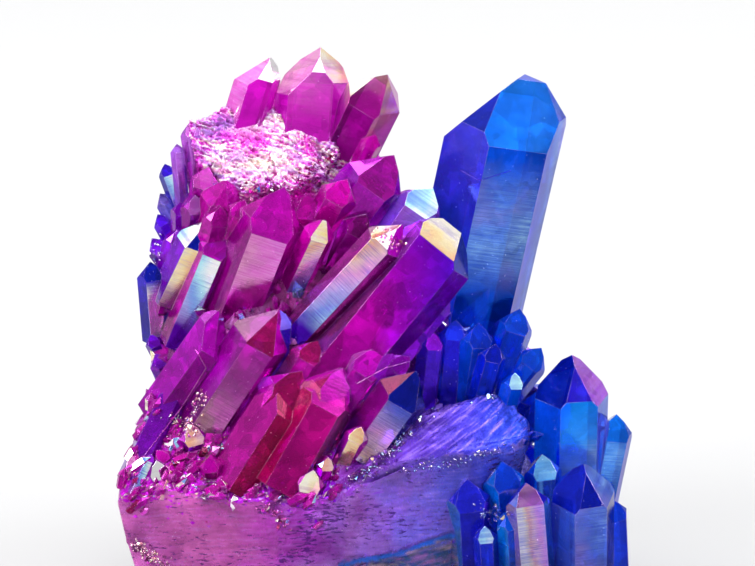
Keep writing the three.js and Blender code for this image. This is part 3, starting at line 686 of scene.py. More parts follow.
def grain_places(places, kinds):
    """Places along the grain, across it, and into the cluster, in mm."""
    way = np.stack((break_trait("across", kinds), break_trait("up", kinds)), axis=1)
    along = (places[:, ::2] * way).sum(axis=1) * break_trait("drawn", kinds)
    across = places[:, 2] * way[:, 0] - places[:, 0] * way[:, 1]
    return np.stack((along, across, places[:, 1]), axis=1)


def fractal(place, octaves):
    return noise.fractal(Vector(place), FRACTAL_FADE, FRACTAL_STEP, octaves)


def broken_push(place, grained, kind):
    """How far a place on broken quartz stands out from the plain surface, in mm, and how high it is on a
    ridge, up to 1."""
    look = BREAKS[kind]
    sizes = (look.long, look.short, look.short)
    fine = fractal(grained / sizes, octaves=4)
    sharp = 1 - RIDGE_SHARPNESS * abs(fine)
    swell = look.swell * fractal(place * SWELL_SCALE, octaves=2)
    push = swell + look.height * (fine * (1 - look.ridged) + sharp * look.ridged)
    return push - (STEP_SUNK if kind == STEP else 0), sharp


# ---------------------------------------------------------------- the meshes of the large points

# How fine the mesh is parted, in mm: broken quartz at the front, at the back and on the broken top,
# and the crystals' flat faces, whose colours change along them.
FRONT_GRAIN, BACK_GRAIN, TOP_GRAIN, FACE_GRAIN = 0.44, 0.9, 0.18, 1.8
FINE_TOP_DEPTH = 10
SPLIT_PASSES, LONGEST_IN_GRAINS = 7, 1.5

# How often the rough vertices are evened out, and how much of the old and the new place each gets.
SMOOTHINGS, SMOOTHED_KEPT, SMOOTHED_NEW = 6, 0.4, 0.6

# The side of the block that a point is cut from, how near vertices are merged, and the underside's height.
CARVED_BLOCK = 172
MERGE_M, UNDERSIDE_M = 1e-7, 1e-5


def list_places(places_m):
    """Places in mm as the crystal lists have them."""
    return np.array(places_m) / MM - ORIGIN_SHIFT


def grain_at(edge, label):
    """How long an edge may stay, in mm."""
    if all(face[label] >= 0 for face in edge.link_faces):
        return FACE_GRAIN
    middle = (edge.verts[0].co + edge.verts[1].co) / 2 / MM
    if middle.z > TOP_FOOT and middle.x < TOP_RIGHT and middle.y < FINE_TOP_DEPTH:
        return TOP_GRAIN
    return FRONT_GRAIN if middle.y < 0 else BACK_GRAIN


def split_faces(bm, label):
    """Parts the faces into small ones, so that broken quartz can be made rough and films can change."""
    for _ in range(SPLIT_PASSES):
        long_edges = [
            edge for edge in bm.edges if edge.calc_length() > LONGEST_IN_GRAINS * grain_at(edge, label) * MM
        ]
        if not long_edges:
            return
        bmesh.ops.subdivide_edges(bm, edges=long_edges, cuts=1)
        bmesh.ops.triangulate(bm, faces=[f for f in bm.faces if len(f.verts) > 3])


def carve(point, number):
    """One quartz point cut from a block by its own planes, its faces labelled as the cluster's are."""
    bm = bmesh.new()
    bmesh.ops.create_cube(bm, size=CARVED_BLOCK)
    label = bm.faces.layers.int.new("label")
    axis, _ = axis_and_front(point)
    foot_plane = (*-axis, -axis.dot(point["foot"]))
    for plane, (*normal, reach) in enumerate((*planes_of(point), foot_plane)):
        cut = bmesh.ops.bisect_plane(
            bm, geom=[*bm.verts, *bm.edges, *bm.faces], plane_co=Vector(normal) * reach,
            plane_no=normal, clear_outer=True,
        )
        rim = [part for part in cut["geom_cut"] if isinstance(part, bmesh.types.BMEdge)]
        for face in bmesh.ops.edgenet_fill(bm, edges=rim)["faces"] if rim else ():
            face[label] = number * FACES_PER_POINT + min(plane, FACES_PER_POINT - 1)
    for vertex in bm.verts:
        vertex.co = (vertex.co + Vector(ORIGIN_SHIFT)) * MM
    bmesh.ops.triangulate(bm, faces=bm.faces)
    bmesh.ops.recalc_face_normals(bm, faces=bm.faces)
    mesh = bpy.data.meshes.new("carved")
    bm.to_mesh(mesh)
    bm.free()
    return mesh


def ledge_mesh():
    """The points that lie on the ledge, each a closed shape."""
    bm = bmesh.new()
    label = bm.faces.layers.int.new("label")
    bm.verts.layers.float.new("crest")
    for number, point in enumerate(LEDGE_POINTS, len(POINTS)):
        carved = carve(point, number)
        bm.from_mesh(carved)
        bpy.data.meshes.remove(carved)
    split_faces(bm, label)
    return bm, label


def labelled_solid():
    """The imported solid's mesh, parted, with each face's label."""
    bm = bmesh.new()
    bm.from_mesh(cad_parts["quartz_cluster"].data)
    bmesh.ops.remove_doubles(bm, verts=bm.verts, dist=MERGE_M)
    for layer in list(bm.loops.layers.uv):
        bm.loops.layers.uv.remove(layer)
    label = bm.faces.layers.int.new("label")
    triangles = list_places([[v.co for v in f.verts] for f in bm.faces])
    for face, value in zip(bm.faces, labels_of(triangles)):
        at_base = max(v.co.z for v in face.verts) < UNDERSIDE_M
        face[label] = UNDERSIDE_LABEL if at_base else int(value)
    split_faces(bm, label)
    bm.verts.index_update()
    return bm, label


def smooth(bm, free):
    """Evens out the free vertices, so that the roughness isn't laid over the solid's own edges."""
    places = list_places([v.co for v in bm.verts])
    edges = np.array([[v.index for v in e.verts] for e in bm.edges])
    for _ in range(SMOOTHINGS):
        total = np.zeros_like(places)
        count = np.zeros(len(places))
        np.add.at(total, edges[:, 0], places[edges[:, 1]])
        np.add.at(total, edges[:, 1], places[edges[:, 0]])
        np.add.at(count, edges.ravel(), 1)
        smoothed = total / count[:, None]
        places[free] = SMOOTHED_KEPT * places[free] + SMOOTHED_NEW * smoothed[free]
    for vertex, place in zip(bm.verts, places):
        vertex.co = (place + ORIGIN_SHIFT) * MM
    bm.normal_update()
    return places


def cluster_mesh():
    """The whole cluster: its crystal faces flat, and the broken quartz between them rough."""
    bm, label = labelled_solid()
    free = np.array([all(f[label] == ROUGH_LABEL for f in v.link_faces) for v in bm.verts])
    places = smooth(bm, free)
    kinds = zones(places, np.array([v.normal for v in bm.verts]))
    grained = grain_places(places, kinds)
    crest = bm.verts.layers.float.new("crest")
    for vertex, place, grain, kind in zip(bm.verts, places, grained, kinds):
        push, vertex[crest] = broken_push(place, grain, kind)
        if free[vertex.index]:
            vertex.co += vertex.normal * push * MM
    bm.normal_update()
    return bm, label


# ---------------------------------------------------------------- the colours of the broken quartz

BREAK_FILM = (0.62, 0.40, 0.72)
# Painted shade: the broken quartz between the crystals is darkened to this tone, less round the cluster's
# lower left end.
MASS_SHADE_TONE = 0.35

# The film's colours over the slab and the curved break, from the left to the right in mm.
SLAB_STOPS = (-30, -20, -11, -4, 5, 14)
SLAB_COLOURS = (
    (0.62, 0.15, 0.44), (0.60, 0.14, 0.38), (0.42, 0.05, 0.38),
    (0.38, 0.15, 0.50), (0.17, 0.13, 0.52), (0.08, 0.10, 0.60),
)
CURVED_STOPS = (-4, 4, 12, 18)
CURVED_COLOURS = ((0.26, 0.05, 0.44), (0.11, 0.06, 0.52), (0.06, 0.06, 0.58), (0.02, 0.06, 0.62))

# The slab's mottling: how many mm it shifts the colours, how much it brightens them, and its scale.
MOTTLING_SHIFT, MOTTLING_TONE, MOTTLING_SCALE = 5, 0.3, 0.3

# The slab's film runs on round the cluster's left end and fades there, behind this depth.
SLAB_END, SLAB_FADE, SLAB_END_RIGHT = 1, 9, 6

# The step's film changes in stripes, and its upper rim is blue.
STEP_STOPS = (-0.5, -0.2, 0.0, 0.2, 0.5)
STEP_COLOURS = (
    (0.30, 0.12, 0.30), (0.02, 0.10, 0.16), (0.03, 0.05, 0.16), (0.12, 0.13, 0.08), (0.50, 0.32, 0.40),
)
STEP_STRIPES = (0.3, 1.6, 1)
STEP_RIM, STEP_RIM_WIDTH = (0.02, 0.16, 0.72), 0.6

# Painted shade darkens the broken quartz along lines seen from in front: the crevice over the curved break,
# and cracks in the middle and in the ledge. It isn't painted deeper in than the depth given below.
CREVICE = (
    (-3.2, -24.6), (0.3, -22.4), (2.8, -19.6), (5.3, -15.9), (7.8, -14.6), (11.6, -13.8), (15.3, -13.6),
)
SHADED_LINES = (
    CREVICE, ((-9.2, -7.6), (-4.8, -3.6)), ((-20.5, -21), (-21.5, -27)), ((-17.4, -19), (-18.6, -25)),
    ((-10, -24), (-13, -28)),
)
SHADE_WIDTH, SHADE_TONE, SHADE_DEPTH = 0.7, 0.22, 5

# The film on the crumpled top: its colours along the ridges, the ridges that it covers, and spots of
# other colours on it, each (place, size, colour) as seen from in front.
TOP_STOPS = (-0.4, -0.15, 0.0, 0.12, 0.25, 0.4)
TOP_COLOURS = (
    (0.50, 0.20, 0.72), (0.76, 0.48, 0.84), (0.94, 0.84, 0.94),
    (0.98, 0.92, 0.94), (1.0, 0.76, 0.50), (0.90, 0.34, 0.72),
)
TOP_BANDS = (0.6, 1.7, 0.8)
TOP_COVER_GAIN, TOP_COVER_START, TOP_LEAST_COVER, TOP_PATCH_SCALE = 2.6, 0.42, 0.03, 0.22
TOP_SPOTS = (
    ((-19.2, 19.7), (2.0, 1.1), (0.14, 0.02, 0.55)),
    ((-15.2, 20.6), (2.6, 1.8), (1.0, 0.96, 1.0)),
    ((-15, 14.9), (2.4, 0.8), (1.0, 0.86, 0.5)),
)
SPOT_COLOUR_SHARE, SPOT_COVER_SHARE = 0.8, 0.7

# Single faces of the ledge with a bright film, partly film colour and partly painted sparkle: their films,
# how often each comes, and how many faces are bright.
LEDGE_FILMS = ((1.0, 0.95, 0.98), (1.0, 0.84, 0.55), (0.95, 0.5, 0.8), (0.35, 0.01, 0.05), (0.5, 0.5, 0.95))
LEDGE_SHARES = (0.3, 0.2, 0.25, 0.1, 0.15)
LEDGE_BRIGHT, LEDGE_COVER = 0.1, 0.9
PAINT_SEED = 3


def nearness(places, kinds):
    """How much the rest of the broken quartz is coated as the matrix's front is: round its left end."""
    near = np.clip((SLAB_END - places[:, 1]) / SLAB_FADE, 0, 1)
    low_left = (places[:, 2] < FRONT_TOP) & (places[:, 0] < SLAB_END_RIGHT)
    return np.where((kinds == MASS) & low_left, near, 0)


def coat_slab(coat, places, across, kinds, near):
    here = (kinds == SLAB) | (kinds == PITTED) | (near > 0)
    mottling = np.array([fractal(place * MOTTLING_SCALE, octaves=4) for place in places[here]])
    coat[here, :3] = ramp(across[here] + MOTTLING_SHIFT * mottling, SLAB_STOPS, SLAB_COLOURS)
    coat[here, :3] *= (1 + MOTTLING_TONE * mottling)[:, None]
    coat[:, 3] = lerp(coat[:, 3], BREAKS[SLAB].cover, near)


def bands_at(grained, scales):
    return np.array([fractal(place * scales, octaves=3) for place in grained])


def coat_step(coat, grained, across, rise, here):
    coat[here, :3] = ramp(bands_at(grained[here], STEP_STRIPES), STEP_STOPS, STEP_COLOURS)
    coat[here & (step_edge(across) - rise < STEP_RIM_WIDTH), :3] = STEP_RIM


def coat_top(coat, places, grained, crest, across, rise, here):
    coat[here, :3] = ramp(bands_at(grained[here], TOP_BANDS), TOP_STOPS, TOP_COLOURS)
    patches = np.array([noise.noise(Vector(place) * TOP_PATCH_SCALE) for place in places[here]])
    # The pale film covers the ridges' crests and leaves the hollows magenta: partly film colour, partly
    # painted highlight on the crests.
    covered = TOP_COVER_GAIN * (crest[here] - TOP_COVER_START + patches)
    coat[here, 3] = np.clip(covered, TOP_LEAST_COVER, 1)
    for (x, z), (wide, high), colour in TOP_SPOTS:
        spot = here * np.exp(-(((across - x) / wide) ** 2) - ((rise - z) / high) ** 2)
        coat[:, :3] = lerp(coat[:, :3], colour, SPOT_COLOUR_SHARE * spot[:, None])
        coat[:, 3] = lerp(coat[:, 3], 1, SPOT_COVER_SHARE * spot)


def coat_ledge(coat, here):
    """Gives single faces of the ledge a bright film, partly the film's own colour and partly painted
    sparkle. There are three corners to a face.
    """
    draw = np.random.default_rng(PAINT_SEED)
    faces = len(coat) // 3
    film = np.repeat(draw.choice(len(LEDGE_FILMS), faces, p=LEDGE_SHARES), 3)
    bright = np.repeat(draw.random(faces) < LEDGE_BRIGHT, 3) & here
    coat[bright, :3] = np.array(LEDGE_FILMS)[film[bright]]
    coat[bright, 3] = LEDGE_COVER


def broken_coats(places, grained, kinds, crest, near):
    """The film's colour and cover at each corner of the broken quartz."""
    coat = np.zeros((len(places), 4))
    coat[:, :3] = BREAK_FILM
    coat[:, 3] = break_trait("cover", kinds)
    across, rise = seen_at(places)
    coat_slab(coat, places, across, kinds, near)
    coat[kinds == CURVED, :3] = ramp(across[kinds == CURVED], CURVED_STOPS, CURVED_COLOURS)
    coat_step(coat, grained, across, rise, kinds == STEP)
    coat_top(coat, places, grained, crest, across, rise, kinds == TOP)
    coat_ledge(coat, kinds == LEDGE)
    return coat


def darkness_at(places):
    """How much painted shade the crevice and the cracks put on places, from 0 to 1."""
    across, rise = seen_at(places)
    found = np.zeros(len(places))
    for line in SHADED_LINES:
        found = np.maximum(found, np.exp(-((away_from_line(across, rise, line) / SHADE_WIDTH) ** 2)))
    found[places[:, 1] > SHADE_DEPTH] = 0
    return found


# ---------------------------------------------------------------- writing the colours into a mesh

# How strongly streaks show on the curved break and on other broken quartz.
CURVED_STREAKS, OTHER_STREAKS = 1, 0.4

# A face is darker further below its tip, down to FADE_LENGTH: partly the quartz's own deeper colour, partly
# painted shade where the crystals meet. Growth lines lie this close on the prism's sides and on the tip's
# faces, and each face's lines differ, up to FACE_NUMBERS of them.
TIP_TONE, TONE_DROP, FADE_LENGTH = 1.12, 0.42, 16
PRISM_LINES, TIP_LINES, FACE_NUMBERS = 1, 0.12, 97

CORNER_VALUES = {
    "tint": ("FLOAT_COLOR", "color"),
    "coat": ("FLOAT_COLOR", "color"),
    "film": ("FLOAT", "value"),
    "mirror": ("FLOAT", "value"),
    "facet": ("FLOAT_VECTOR", "vector"),
}


def write_corners(mesh, values):
    for title, (kind, key) in CORNER_VALUES.items():
        layer = mesh.attributes.new(title, kind, "CORNER")
        layer.data.foreach_set(key, np.array(values[title], float).ravel())


def read_values(data, key, count, kind=float):
    values = np.zeros(count, kind)
    data.foreach_get(key, values)
    return values


def paint_face(values, here, label, places, by_place):
    """Gives one crystal face its inside colour, its film and its growth lines."""
    point = ALL_POINTS[label // FACES_PER_POINT]
    plane = label % FACES_PER_POINT
    axis, _ = axis_and_front(point)
    across_way = np.cross(axis, planes_of(point)[plane][:3])
    across_way /= max(np.linalg.norm(across_way), TINY)
    along = (places - point["tip"]) @ axis
    across = (places - point["tip"]) @ across_way
    finish, fade = face_finish(label)
    own_hue = by_place if finish.hue is None else np.full(len(places), finish.hue)
    length = np.linalg.norm(point["tip"] - point["foot"])
    down = np.clip(-along / min(length, FADE_LENGTH), 0, 1)
    # Darker towards the foot: partly the quartz's own colour, partly painted shade where the crystals meet.
    shade = finish.tone * (TIP_TONE - TONE_DROP * down)
    slide = finish.slide * across / (point["wide"] / 2)
    spacing = TIP_LINES if plane % 2 else PRISM_LINES
    number = np.full(len(places), label % FACE_NUMBERS)
    values["tint"][here, :3] = ramp(own_hue, HUE_STOPS, HUE_COLOURS) * shade[:, None]
    values["film"][here] = lerp(finish.tip, finish.foot, down) + slide
    values["coat"][here, 3] = finish.cover * np.interp(-along, fade[:, 0], fade[:, 1])
    values["mirror"][here] = finish.mirror
    values["facet"][here] = np.stack((across * spacing, along * spacing, number), axis=1)


def paint(mesh, labels):
    """Writes each face corner's tint, film, mirror and place on its own face into the mesh."""
    count = len(mesh.loops)
    vertex_of = read_values(mesh.loops, "vertex_index", count, np.int32)
    vertices_m = read_values(mesh.vertices, "co", len(mesh.vertices) * 3).reshape(-1, 3)
    places = list_places(vertices_m[vertex_of])
    crest = read_values(mesh.attributes["crest"].data, "value", len(mesh.vertices))[vertex_of]
    normals = read_values(mesh.corner_normals, "vector", count * 3).reshape(-1, 3)
    face_labels = np.repeat(labels, 3)
    rough = face_labels < 0

    kinds = zones(places, normals)
    near = nearness(places, kinds)
    by_place = place_hue(places)
    # Painted shade darkens the broken quartz between the crystals.
    tone = np.where(kinds == MASS, lerp(MASS_SHADE_TONE, 1, near), 1)
    facet = grain_places(places, kinds)
    tint = np.ones((count, 4))
    tint[:, :3] = ramp(by_place, HUE_STOPS, HUE_COLOURS) * tone[:, None]
    tint[:, 3] = np.where(kinds == CURVED, CURVED_STREAKS, OTHER_STREAKS)
    coat = np.ones((count, 4))
    coat[rough] = broken_coats(places[rough], facet[rough], kinds[rough], crest[rough], near[rough])
    # Painted shade darkens the tint and the film along the crevice and the cracks.
    shadow = lerp(1, SHADE_TONE, darkness_at(places[rough]))[:, None]
    tint[rough, :3] *= shadow
    coat[rough, :3] *= shadow
    values = {
        "tint": tint,
        "coat": coat,
        "film": lerp(break_trait("dashes", kinds), BREAKS[SLAB].dashes, near),
        "mirror": break_trait("mirror", kinds),
        "facet": facet,
    }
    for label in np.unique(face_labels[~rough]):
        here = face_labels == label
        paint_face(values, here, label, places[here], by_place[here])
    values["tint"] = np.clip(tint, 0, 1)
    write_corners(mesh, values)


# ---------------------------------------------------------------- materials

WHITE = (1, 1, 1, 1)
# Tiny pale specks: partly dust, partly painted sparkle.
DUST_AND_SPARKLE = (0.95, 0.8, 1.0, 1)
QUARTZ_IOR = 1.54
TINT_IN_SHINE = 0.92

EDGE_WIDTH_M, EDGE_SAMPLES = 0.00009, 4
# A pale colour painted along the faces' edges as a highlight.
EDGE_GLINT = (0.86, 0.62, 0.95, 1)
CRYSTAL_BUMP_M, BREAK_BUMP_M = 0.00005, 0.00012
VEIN, CRACK = (0.36, 0.2, 0.66, 1), (0.03, 0.004, 0.12, 1)


class Nodes:
    """Short ways to fill a node tree."""

    def __init__(self, tree, output):
        self.tree = tree
        self.tree.nodes.clear()
        self.output = self.tree.nodes.new("ShaderNodeOutput" + output)

    def feed(self, socket, value):
        if isinstance(value, bpy.types.NodeSocket):
            self.tree.links.new(value, socket)
        else:
            socket.default_value = value

    def node(self, kind, settings=(), **inputs):
        """A node with these inputs, by name or, for i0, i1 and so on, by number."""
        made = self.tree.nodes.new("ShaderNode" + kind)
        for key, value in dict(settings).items():
            setattr(made, key, value)
        for key, value in inputs.items():
            numbered = key[0] == "i" and key[1:].isdigit()
            self.feed(made.inputs[int(key[1:]) if numbered else key], value)
        return made

    def end_in(self, shader):
        self.feed(self.output.inputs["Surface"], shader.outputs[0])

    def math(self, operation, a, b=0.0, c=0.0, clamp=False):
        return self.node("Math", {"operation": operation, "use_clamp": clamp}, i0=a, i1=b, i2=c).outputs[0]

    def multiply(self, a, b):
        return self.math("MULTIPLY", a, b)

    def swayed(self, base, value, middle, gain):
        """base, and gain times as much more as value is over middle."""
        return self.math("MULTIPLY_ADD", self.math("SUBTRACT", value, middle), gain, base)

    def vectors(self, operation, a, b, output="Vector"):
        return self.node("VectorMath", {"operation": operation}, i0=a, i1=b).outputs[output]

    def shaded(self, colour, shade):
        return self.node("VectorMath", {"operation": "SCALE"}, i0=colour, Scale=shade).outputs[0]

    def attribute(self, name, output="Fac"):
        return self.node("Attribute", {"attribute_name": name}).outputs[output]

    def mix(self, share, a, b):
        return self.node("Mix", {"data_type": "RGBA"}, i0=share, i6=a, i7=b).outputs[2]

    def spread(self, value, low, high, to_low=0.0, to_high=1.0, kind="SMOOTHSTEP"):
        limits = {"From Min": low, "From Max": high, "To Min": to_low, "To Max": to_high}
        return self.node("MapRange", {"interpolation_type": kind}, Value=value, **limits).outputs[0]

    def ramp(self, value, stops, colours):
        made = self.node("ValToRGB", Fac=value)
        elements = made.color_ramp.elements
        for number, (stop, colour) in enumerate(zip(stops, colours)):
            element = elements[number] if number < 2 else elements.new(stop)
            element.position = stop
            element.color = (*colour, 1)
        return made.outputs[0]

    def noise(self, vector, scale, detail, roughness):
        made = self.node("TexNoise", Vector=vector, Scale=scale, Detail=detail, Roughness=roughness)
        return made.outputs[0]

    def cells(self, vector, scale):
        """A value between 0 and 1 that is even within flat-sided patches, used as painted reflections of
        facets seen within.
        """
        made = self.node("TexVoronoi", Vector=vector, Scale=scale)
        return self.node("SeparateColor", Color=made.outputs["Color"]).outputs[0]

    def specks(self, place, low, high):
        return self.spread(self.noise(place, scale=5200.0, detail=1.0, roughness=0.5), low, high)


def new_material(name):
    material = bpy.data.materials.new(name)
    material.use_nodes = True
    return material, Nodes(material.node_tree, "Material")


def crystal_material():
    """A clear tinted face under growth lines and a film, with pale edges painted as highlights, patches of
    painted inner reflection, and specks that are partly dust and partly painted sparkle.
    """
    material, n = new_material("aura_quartz_faces")
    place = n.node("TexCoord").outputs["Object"]
    facet = n.attribute("facet", "Vector")

    edge_normal = n.node("Bevel", {"samples": EDGE_SAMPLES}, Radius=EDGE_WIDTH_M).outputs[0]
    true_normal = n.node("NewGeometry").outputs["True Normal"]
    edge = n.spread(n.vectors("DOT_PRODUCT", edge_normal, true_normal, "Value"), 0.998, 0.93)
    growth = n.noise(n.vectors("MULTIPLY", facet, (0.14, 5.6, 1.0)), scale=1.0, detail=3.0, roughness=0.6)
    cloud = n.noise(place, scale=140.0, detail=4.0, roughness=0.6)
    veil = n.noise(place, scale=420.0, detail=3.0, roughness=0.55)
    # Pale specks, partly dust and partly painted sparkle.
    speck = n.specks(place, 0.76, 0.82)

    # Painted inner reflection: flat-sided patches brighten and darken the tint, and vary how much film
    # covers it.
    own_place = n.vectors("ADD", place, n.vectors("MULTIPLY", facet, (0.0, 0.0, 0.013)))
    inside = n.multiply(n.cells(own_place, 330.0), n.cells(own_place, 700.0))
    clouded = n.spread(cloud, 0.3, 0.72, to_low=0.7, to_high=1.2)
    shade = n.multiply(clouded, n.math("MULTIPLY_ADD", inside, 0.65, 0.75))
    varied = n.shaded(n.attribute("tint", "Color"), shade)

    lines = n.spread(growth, 0.36, 0.62, to_low=0.5, to_high=1.08)
    veiled = n.spread(veil, 0.3, 0.6, to_low=0.8, to_high=1.0)
    patchy = n.multiply(veiled, n.math("MULTIPLY_ADD", inside, 0.4, 0.8, clamp=True))
    covered = n.multiply(n.attribute("coat", "Alpha"), n.multiply(lines, patchy))
    bands = n.swayed(n.attribute("film"), cloud, 0.5, 0.5)
    finer_bands = n.swayed(bands, growth, 0.5, 0.2)
    coated = n.mix(covered, varied, n.ramp(finer_bands, FILM_STOPS, FILM_COLOURS))
    # Painted highlight: the edges are mixed towards a pale colour, patchily.
    edge_highlight = n.multiply(edge, n.spread(veil, 0.4, 0.65, to_low=0.1, to_high=0.6))
    specked = n.mix(n.multiply(speck, 0.5), n.mix(edge_highlight, coated, EDGE_GLINT), DUST_AND_SPARKLE)

    smear = n.spread(cloud, 0.35, 0.8, to_low=0.04, to_high=0.14)
    bump = n.node("Bump", Strength=0.22, Distance=CRYSTAL_BUMP_M, Height=growth, Normal=edge_normal)
    n.end_in(n.node("BsdfPrincipled", **{
        "Base Color": specked,
        "Specular Tint": n.mix(TINT_IN_SHINE, WHITE, coated),
        "Roughness": n.math("MULTIPLY_ADD", speck, 0.3, smear),
        "Metallic": n.attribute("mirror"),
        "Normal": bump.outputs[0],
        "Transmission Weight": 0.72,
        "IOR": QUARTZ_IOR,
    }))
    return material


def broken_material():
    """Rough quartz under a film that is streaked, veined and cracked in short dark dashes."""
    material, n = new_material("aura_quartz_broken")
    place = n.node("TexCoord").outputs["Object"]
    facet = n.attribute("facet", "Vector")
    mirror = n.attribute("mirror")
    streaked = n.attribute("tint", "Alpha")
    cloud = n.noise(place, scale=160.0, detail=5.0, roughness=0.6)
    grain = n.noise(place, scale=1100.0, detail=3.0, roughness=0.6)
    streak = n.noise(n.vectors("MULTIPLY", facet, (0.35, 3.0, 0.5)), scale=1.0, detail=3.0, roughness=0.55)
    # Pale specks, partly dust and partly painted sparkle.
    speck = n.specks(place, 0.74, 0.8)

    dash = n.noise(n.vectors("MULTIPLY", facet, (0.9, 4.0, 1.0)), scale=1.0, detail=1.0, roughness=0.6)
    crowding = n.noise(place, scale=190.0, detail=2.0, roughness=0.5)
    crowd = n.spread(crowding, 0.42, 0.62, to_low=-0.1, to_high=0.02)
    dashes = n.spread(n.math("ADD", dash, n.math("ADD", crowd, n.attribute("film"))), 0.66, 0.71)

    streak_tone = n.spread(streak, 0.3, 0.7, to_low=0.65, to_high=1.25)
    streaks = n.swayed(1.0, streak_tone, 1.0, streaked)
    shade = n.multiply(n.spread(cloud, 0.3, 0.7, to_low=0.65, to_high=1.2), streaks)
    coated = n.mix(n.attribute("coat", "Alpha"), n.attribute("tint", "Color"), n.attribute("coat", "Color"))
    vein = n.multiply(n.spread(streak, 0.5, 0.7, to_low=0.0, to_high=0.6), streaked)
    varied = n.shaded(n.mix(vein, coated, VEIN), shade)
    cracked = n.mix(n.multiply(dashes, 0.8), varied, CRACK)

    satin = n.spread(grain, 0.3, 0.7, to_low=0.22, to_high=0.42)
    height = n.math("SUBTRACT", n.math("ADD", grain, streak), n.multiply(dashes, 1.5))
    bump = n.node("Bump", Strength=0.5, Distance=BREAK_BUMP_M, Height=height)
    n.end_in(n.node("BsdfPrincipled", **{
        "Base Color": n.mix(n.multiply(speck, 0.6), cracked, DUST_AND_SPARKLE),
        "Specular Tint": n.mix(TINT_IN_SHINE, WHITE, coated),
        "Roughness": n.math("MULTIPLY_ADD", mirror, -0.35, satin, clamp=True),
        "Metallic": mirror,
        "Normal": bump.outputs[0],
        "Transmission Weight": 0.5,
        "IOR": QUARTZ_IOR,
    }))
    return material


# ---------------------------------------------------------------- the pieces


class Surface(NamedTuple):
    """The faces of the broken quartz: their middles and normals, their areas in mm2, and their kinds."""

    centres: np.ndarray
    normals: np.ndarray
    areas: np.ndarray
    kinds: np.ndarray


def add_object(name, data):
    made = bpy.data.objects.new(name, data)
    bpy.context.scene.collection.objects.link(made)
    return made


def add_piece(name, mesh):
    piece = add_object(name, mesh)
    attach(piece, "root")
    return piece


def build_points(name, bm, label, materials):
    """Makes a painted piece of large points, and gives its solid for the sight to meet."""
    labels = np.array([f[label] for f in bm.faces])
    bm.faces.layers.int.remove(label)
    solid = BVHTree.FromBMesh(bm)
    mesh = bpy.data.meshes.new(name)
    bm.to_mesh(mesh)
    bm.free()
    for material in materials:
        mesh.materials.append(material)
    paint(mesh, labels)
    return add_piece(name, mesh), solid


def build_cluster():
    """The cluster itself. Gives its solid, each face's kind or -1, and its broken faces."""
    bm, label = cluster_mesh()
    for face in bm.faces:
        face.material_index = 0 if face[label] >= 0 else 1
    faces = [f for f in bm.faces if f[label] == ROUGH_LABEL]
    centres = list_places([f.calc_center_median() for f in faces])
    normals = np.array([f.normal for f in faces])
    areas = np.array([f.calc_area() for f in faces]) / MM**2
    kinds = zones(centres, normals)
    for face, kind in zip(faces, kinds):
        face.smooth = bool(kind != LEDGE)
    face_kinds = np.full(len(bm.faces), -1)
    face_kinds[[f[label] == ROUGH_LABEL for f in bm.faces]] = kinds
    piece, solid = build_points("quartz_points", bm, label, (CRYSTAL, BROKEN))
    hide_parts("quartz_cluster")
    return solid, face_kinds, Surface(centres, normals, areas, kinds)


def build_ledge_points():
    bm, label = ledge_mesh()
    face_kinds = np.full(len(bm.faces), -1)
    _, solid = build_points("ledge_points", bm, label, (CRYSTAL,))
    return solid, face_kinds


class Shards:
    """Small shapes that are joined into one piece: vertices in mm, faces, and the faces' corner values."""

    def __init__(self):
        self.vertices = []
        self.faces = []
        self.corners = {title: [] for title in CORNER_VALUES}

    def add_face(self, face, tint, cover, film, mirror, facets):
        self.faces.append(face)
        for facet in facets:
            row = ((*tint, 1), (1, 1, 1, cover), film, mirror, facet)
            for values, value in zip(self.corners.values(), row):
                values.append(value)

    def build(self, name):
        mesh = bpy.data.meshes.new(name)
        mesh.from_pydata((np.array(self.vertices) + ORIGIN_SHIFT) * MM, [], self.faces)
        mesh.materials.append(CRYSTAL)
        write_corners(mesh, self.corners)
        add_piece(name, mesh)


# ---------------------------------------------------------------- small crystals and chips

GLINTS = ("white", "gold", "rose", "lilac", "cyan", "cream")
GLINT_SHARE = 0.1

# A small crystal's shape: its tip's height in half widths and at most in lengths, how uneven its sides
# and its shoulder are, how flat it may be, and how far off its middle the tip is.
SMALL_TIP, SMALL_TIP_LIMIT = 1.25, 0.7
SMALL_UNEVEN, SMALL_SHOULDER, SMALL_OFF_MIDDLE = 0.25, 0.5, 0.5
SMALL_FLATTEST, SMALL_FLAT_SPREAD = 0.45, 0.55
ASKEW = (0.31, 0.87, 0.38)

# Its colours: how its faces' tone, film and cover vary, and how close its growth lines are.
SMALL_TONE, SMALL_TONE_SPREAD = 0.5, 0.8
SMALL_FILM_SPREAD = 0.15
SMALL_COVER, SMALL_COVER_SPREAD = 0.5, 0.5
SMALL_LINES, SMALL_NUMBERS = 0.3, 89
SMALL_HUE_SPREAD = 0.06

# What is added to the way that a small crystal and a chip grow.
GROWING_UP, GROWING_OUT = (0, 0, 0.2), (0, -0.2, 0.3)

RIDGE_STEP, RIDGE_SUNK, RIDGE_HEIGHT, RIDGE_END = 0.4, 0.06, 0.1, 0.2
RIDGE_LINES = 0.1


def small_point(sides):
    """A unit quartz point of half width 1: a ring at its foot, one at its shoulder, and a tip."""
    turns = [math.tau * side / sides for side in range(sides)]
    ring = [(math.cos(turn), math.sin(turn)) for turn in turns]
    vertices = [(x, y, -1) for x, y in ring] + [(x, y, 0) for x, y in ring] + [(0, 0, 1)]
    faces = [tuple(reversed(range(sides)))]
    for side in range(sides):
        after = (side + 1) % sides
        faces.append((side, after, sides + after, sides + side))
        faces.append((sides + side, sides + after, 2 * sides))
    return np.array(vertices, float), faces


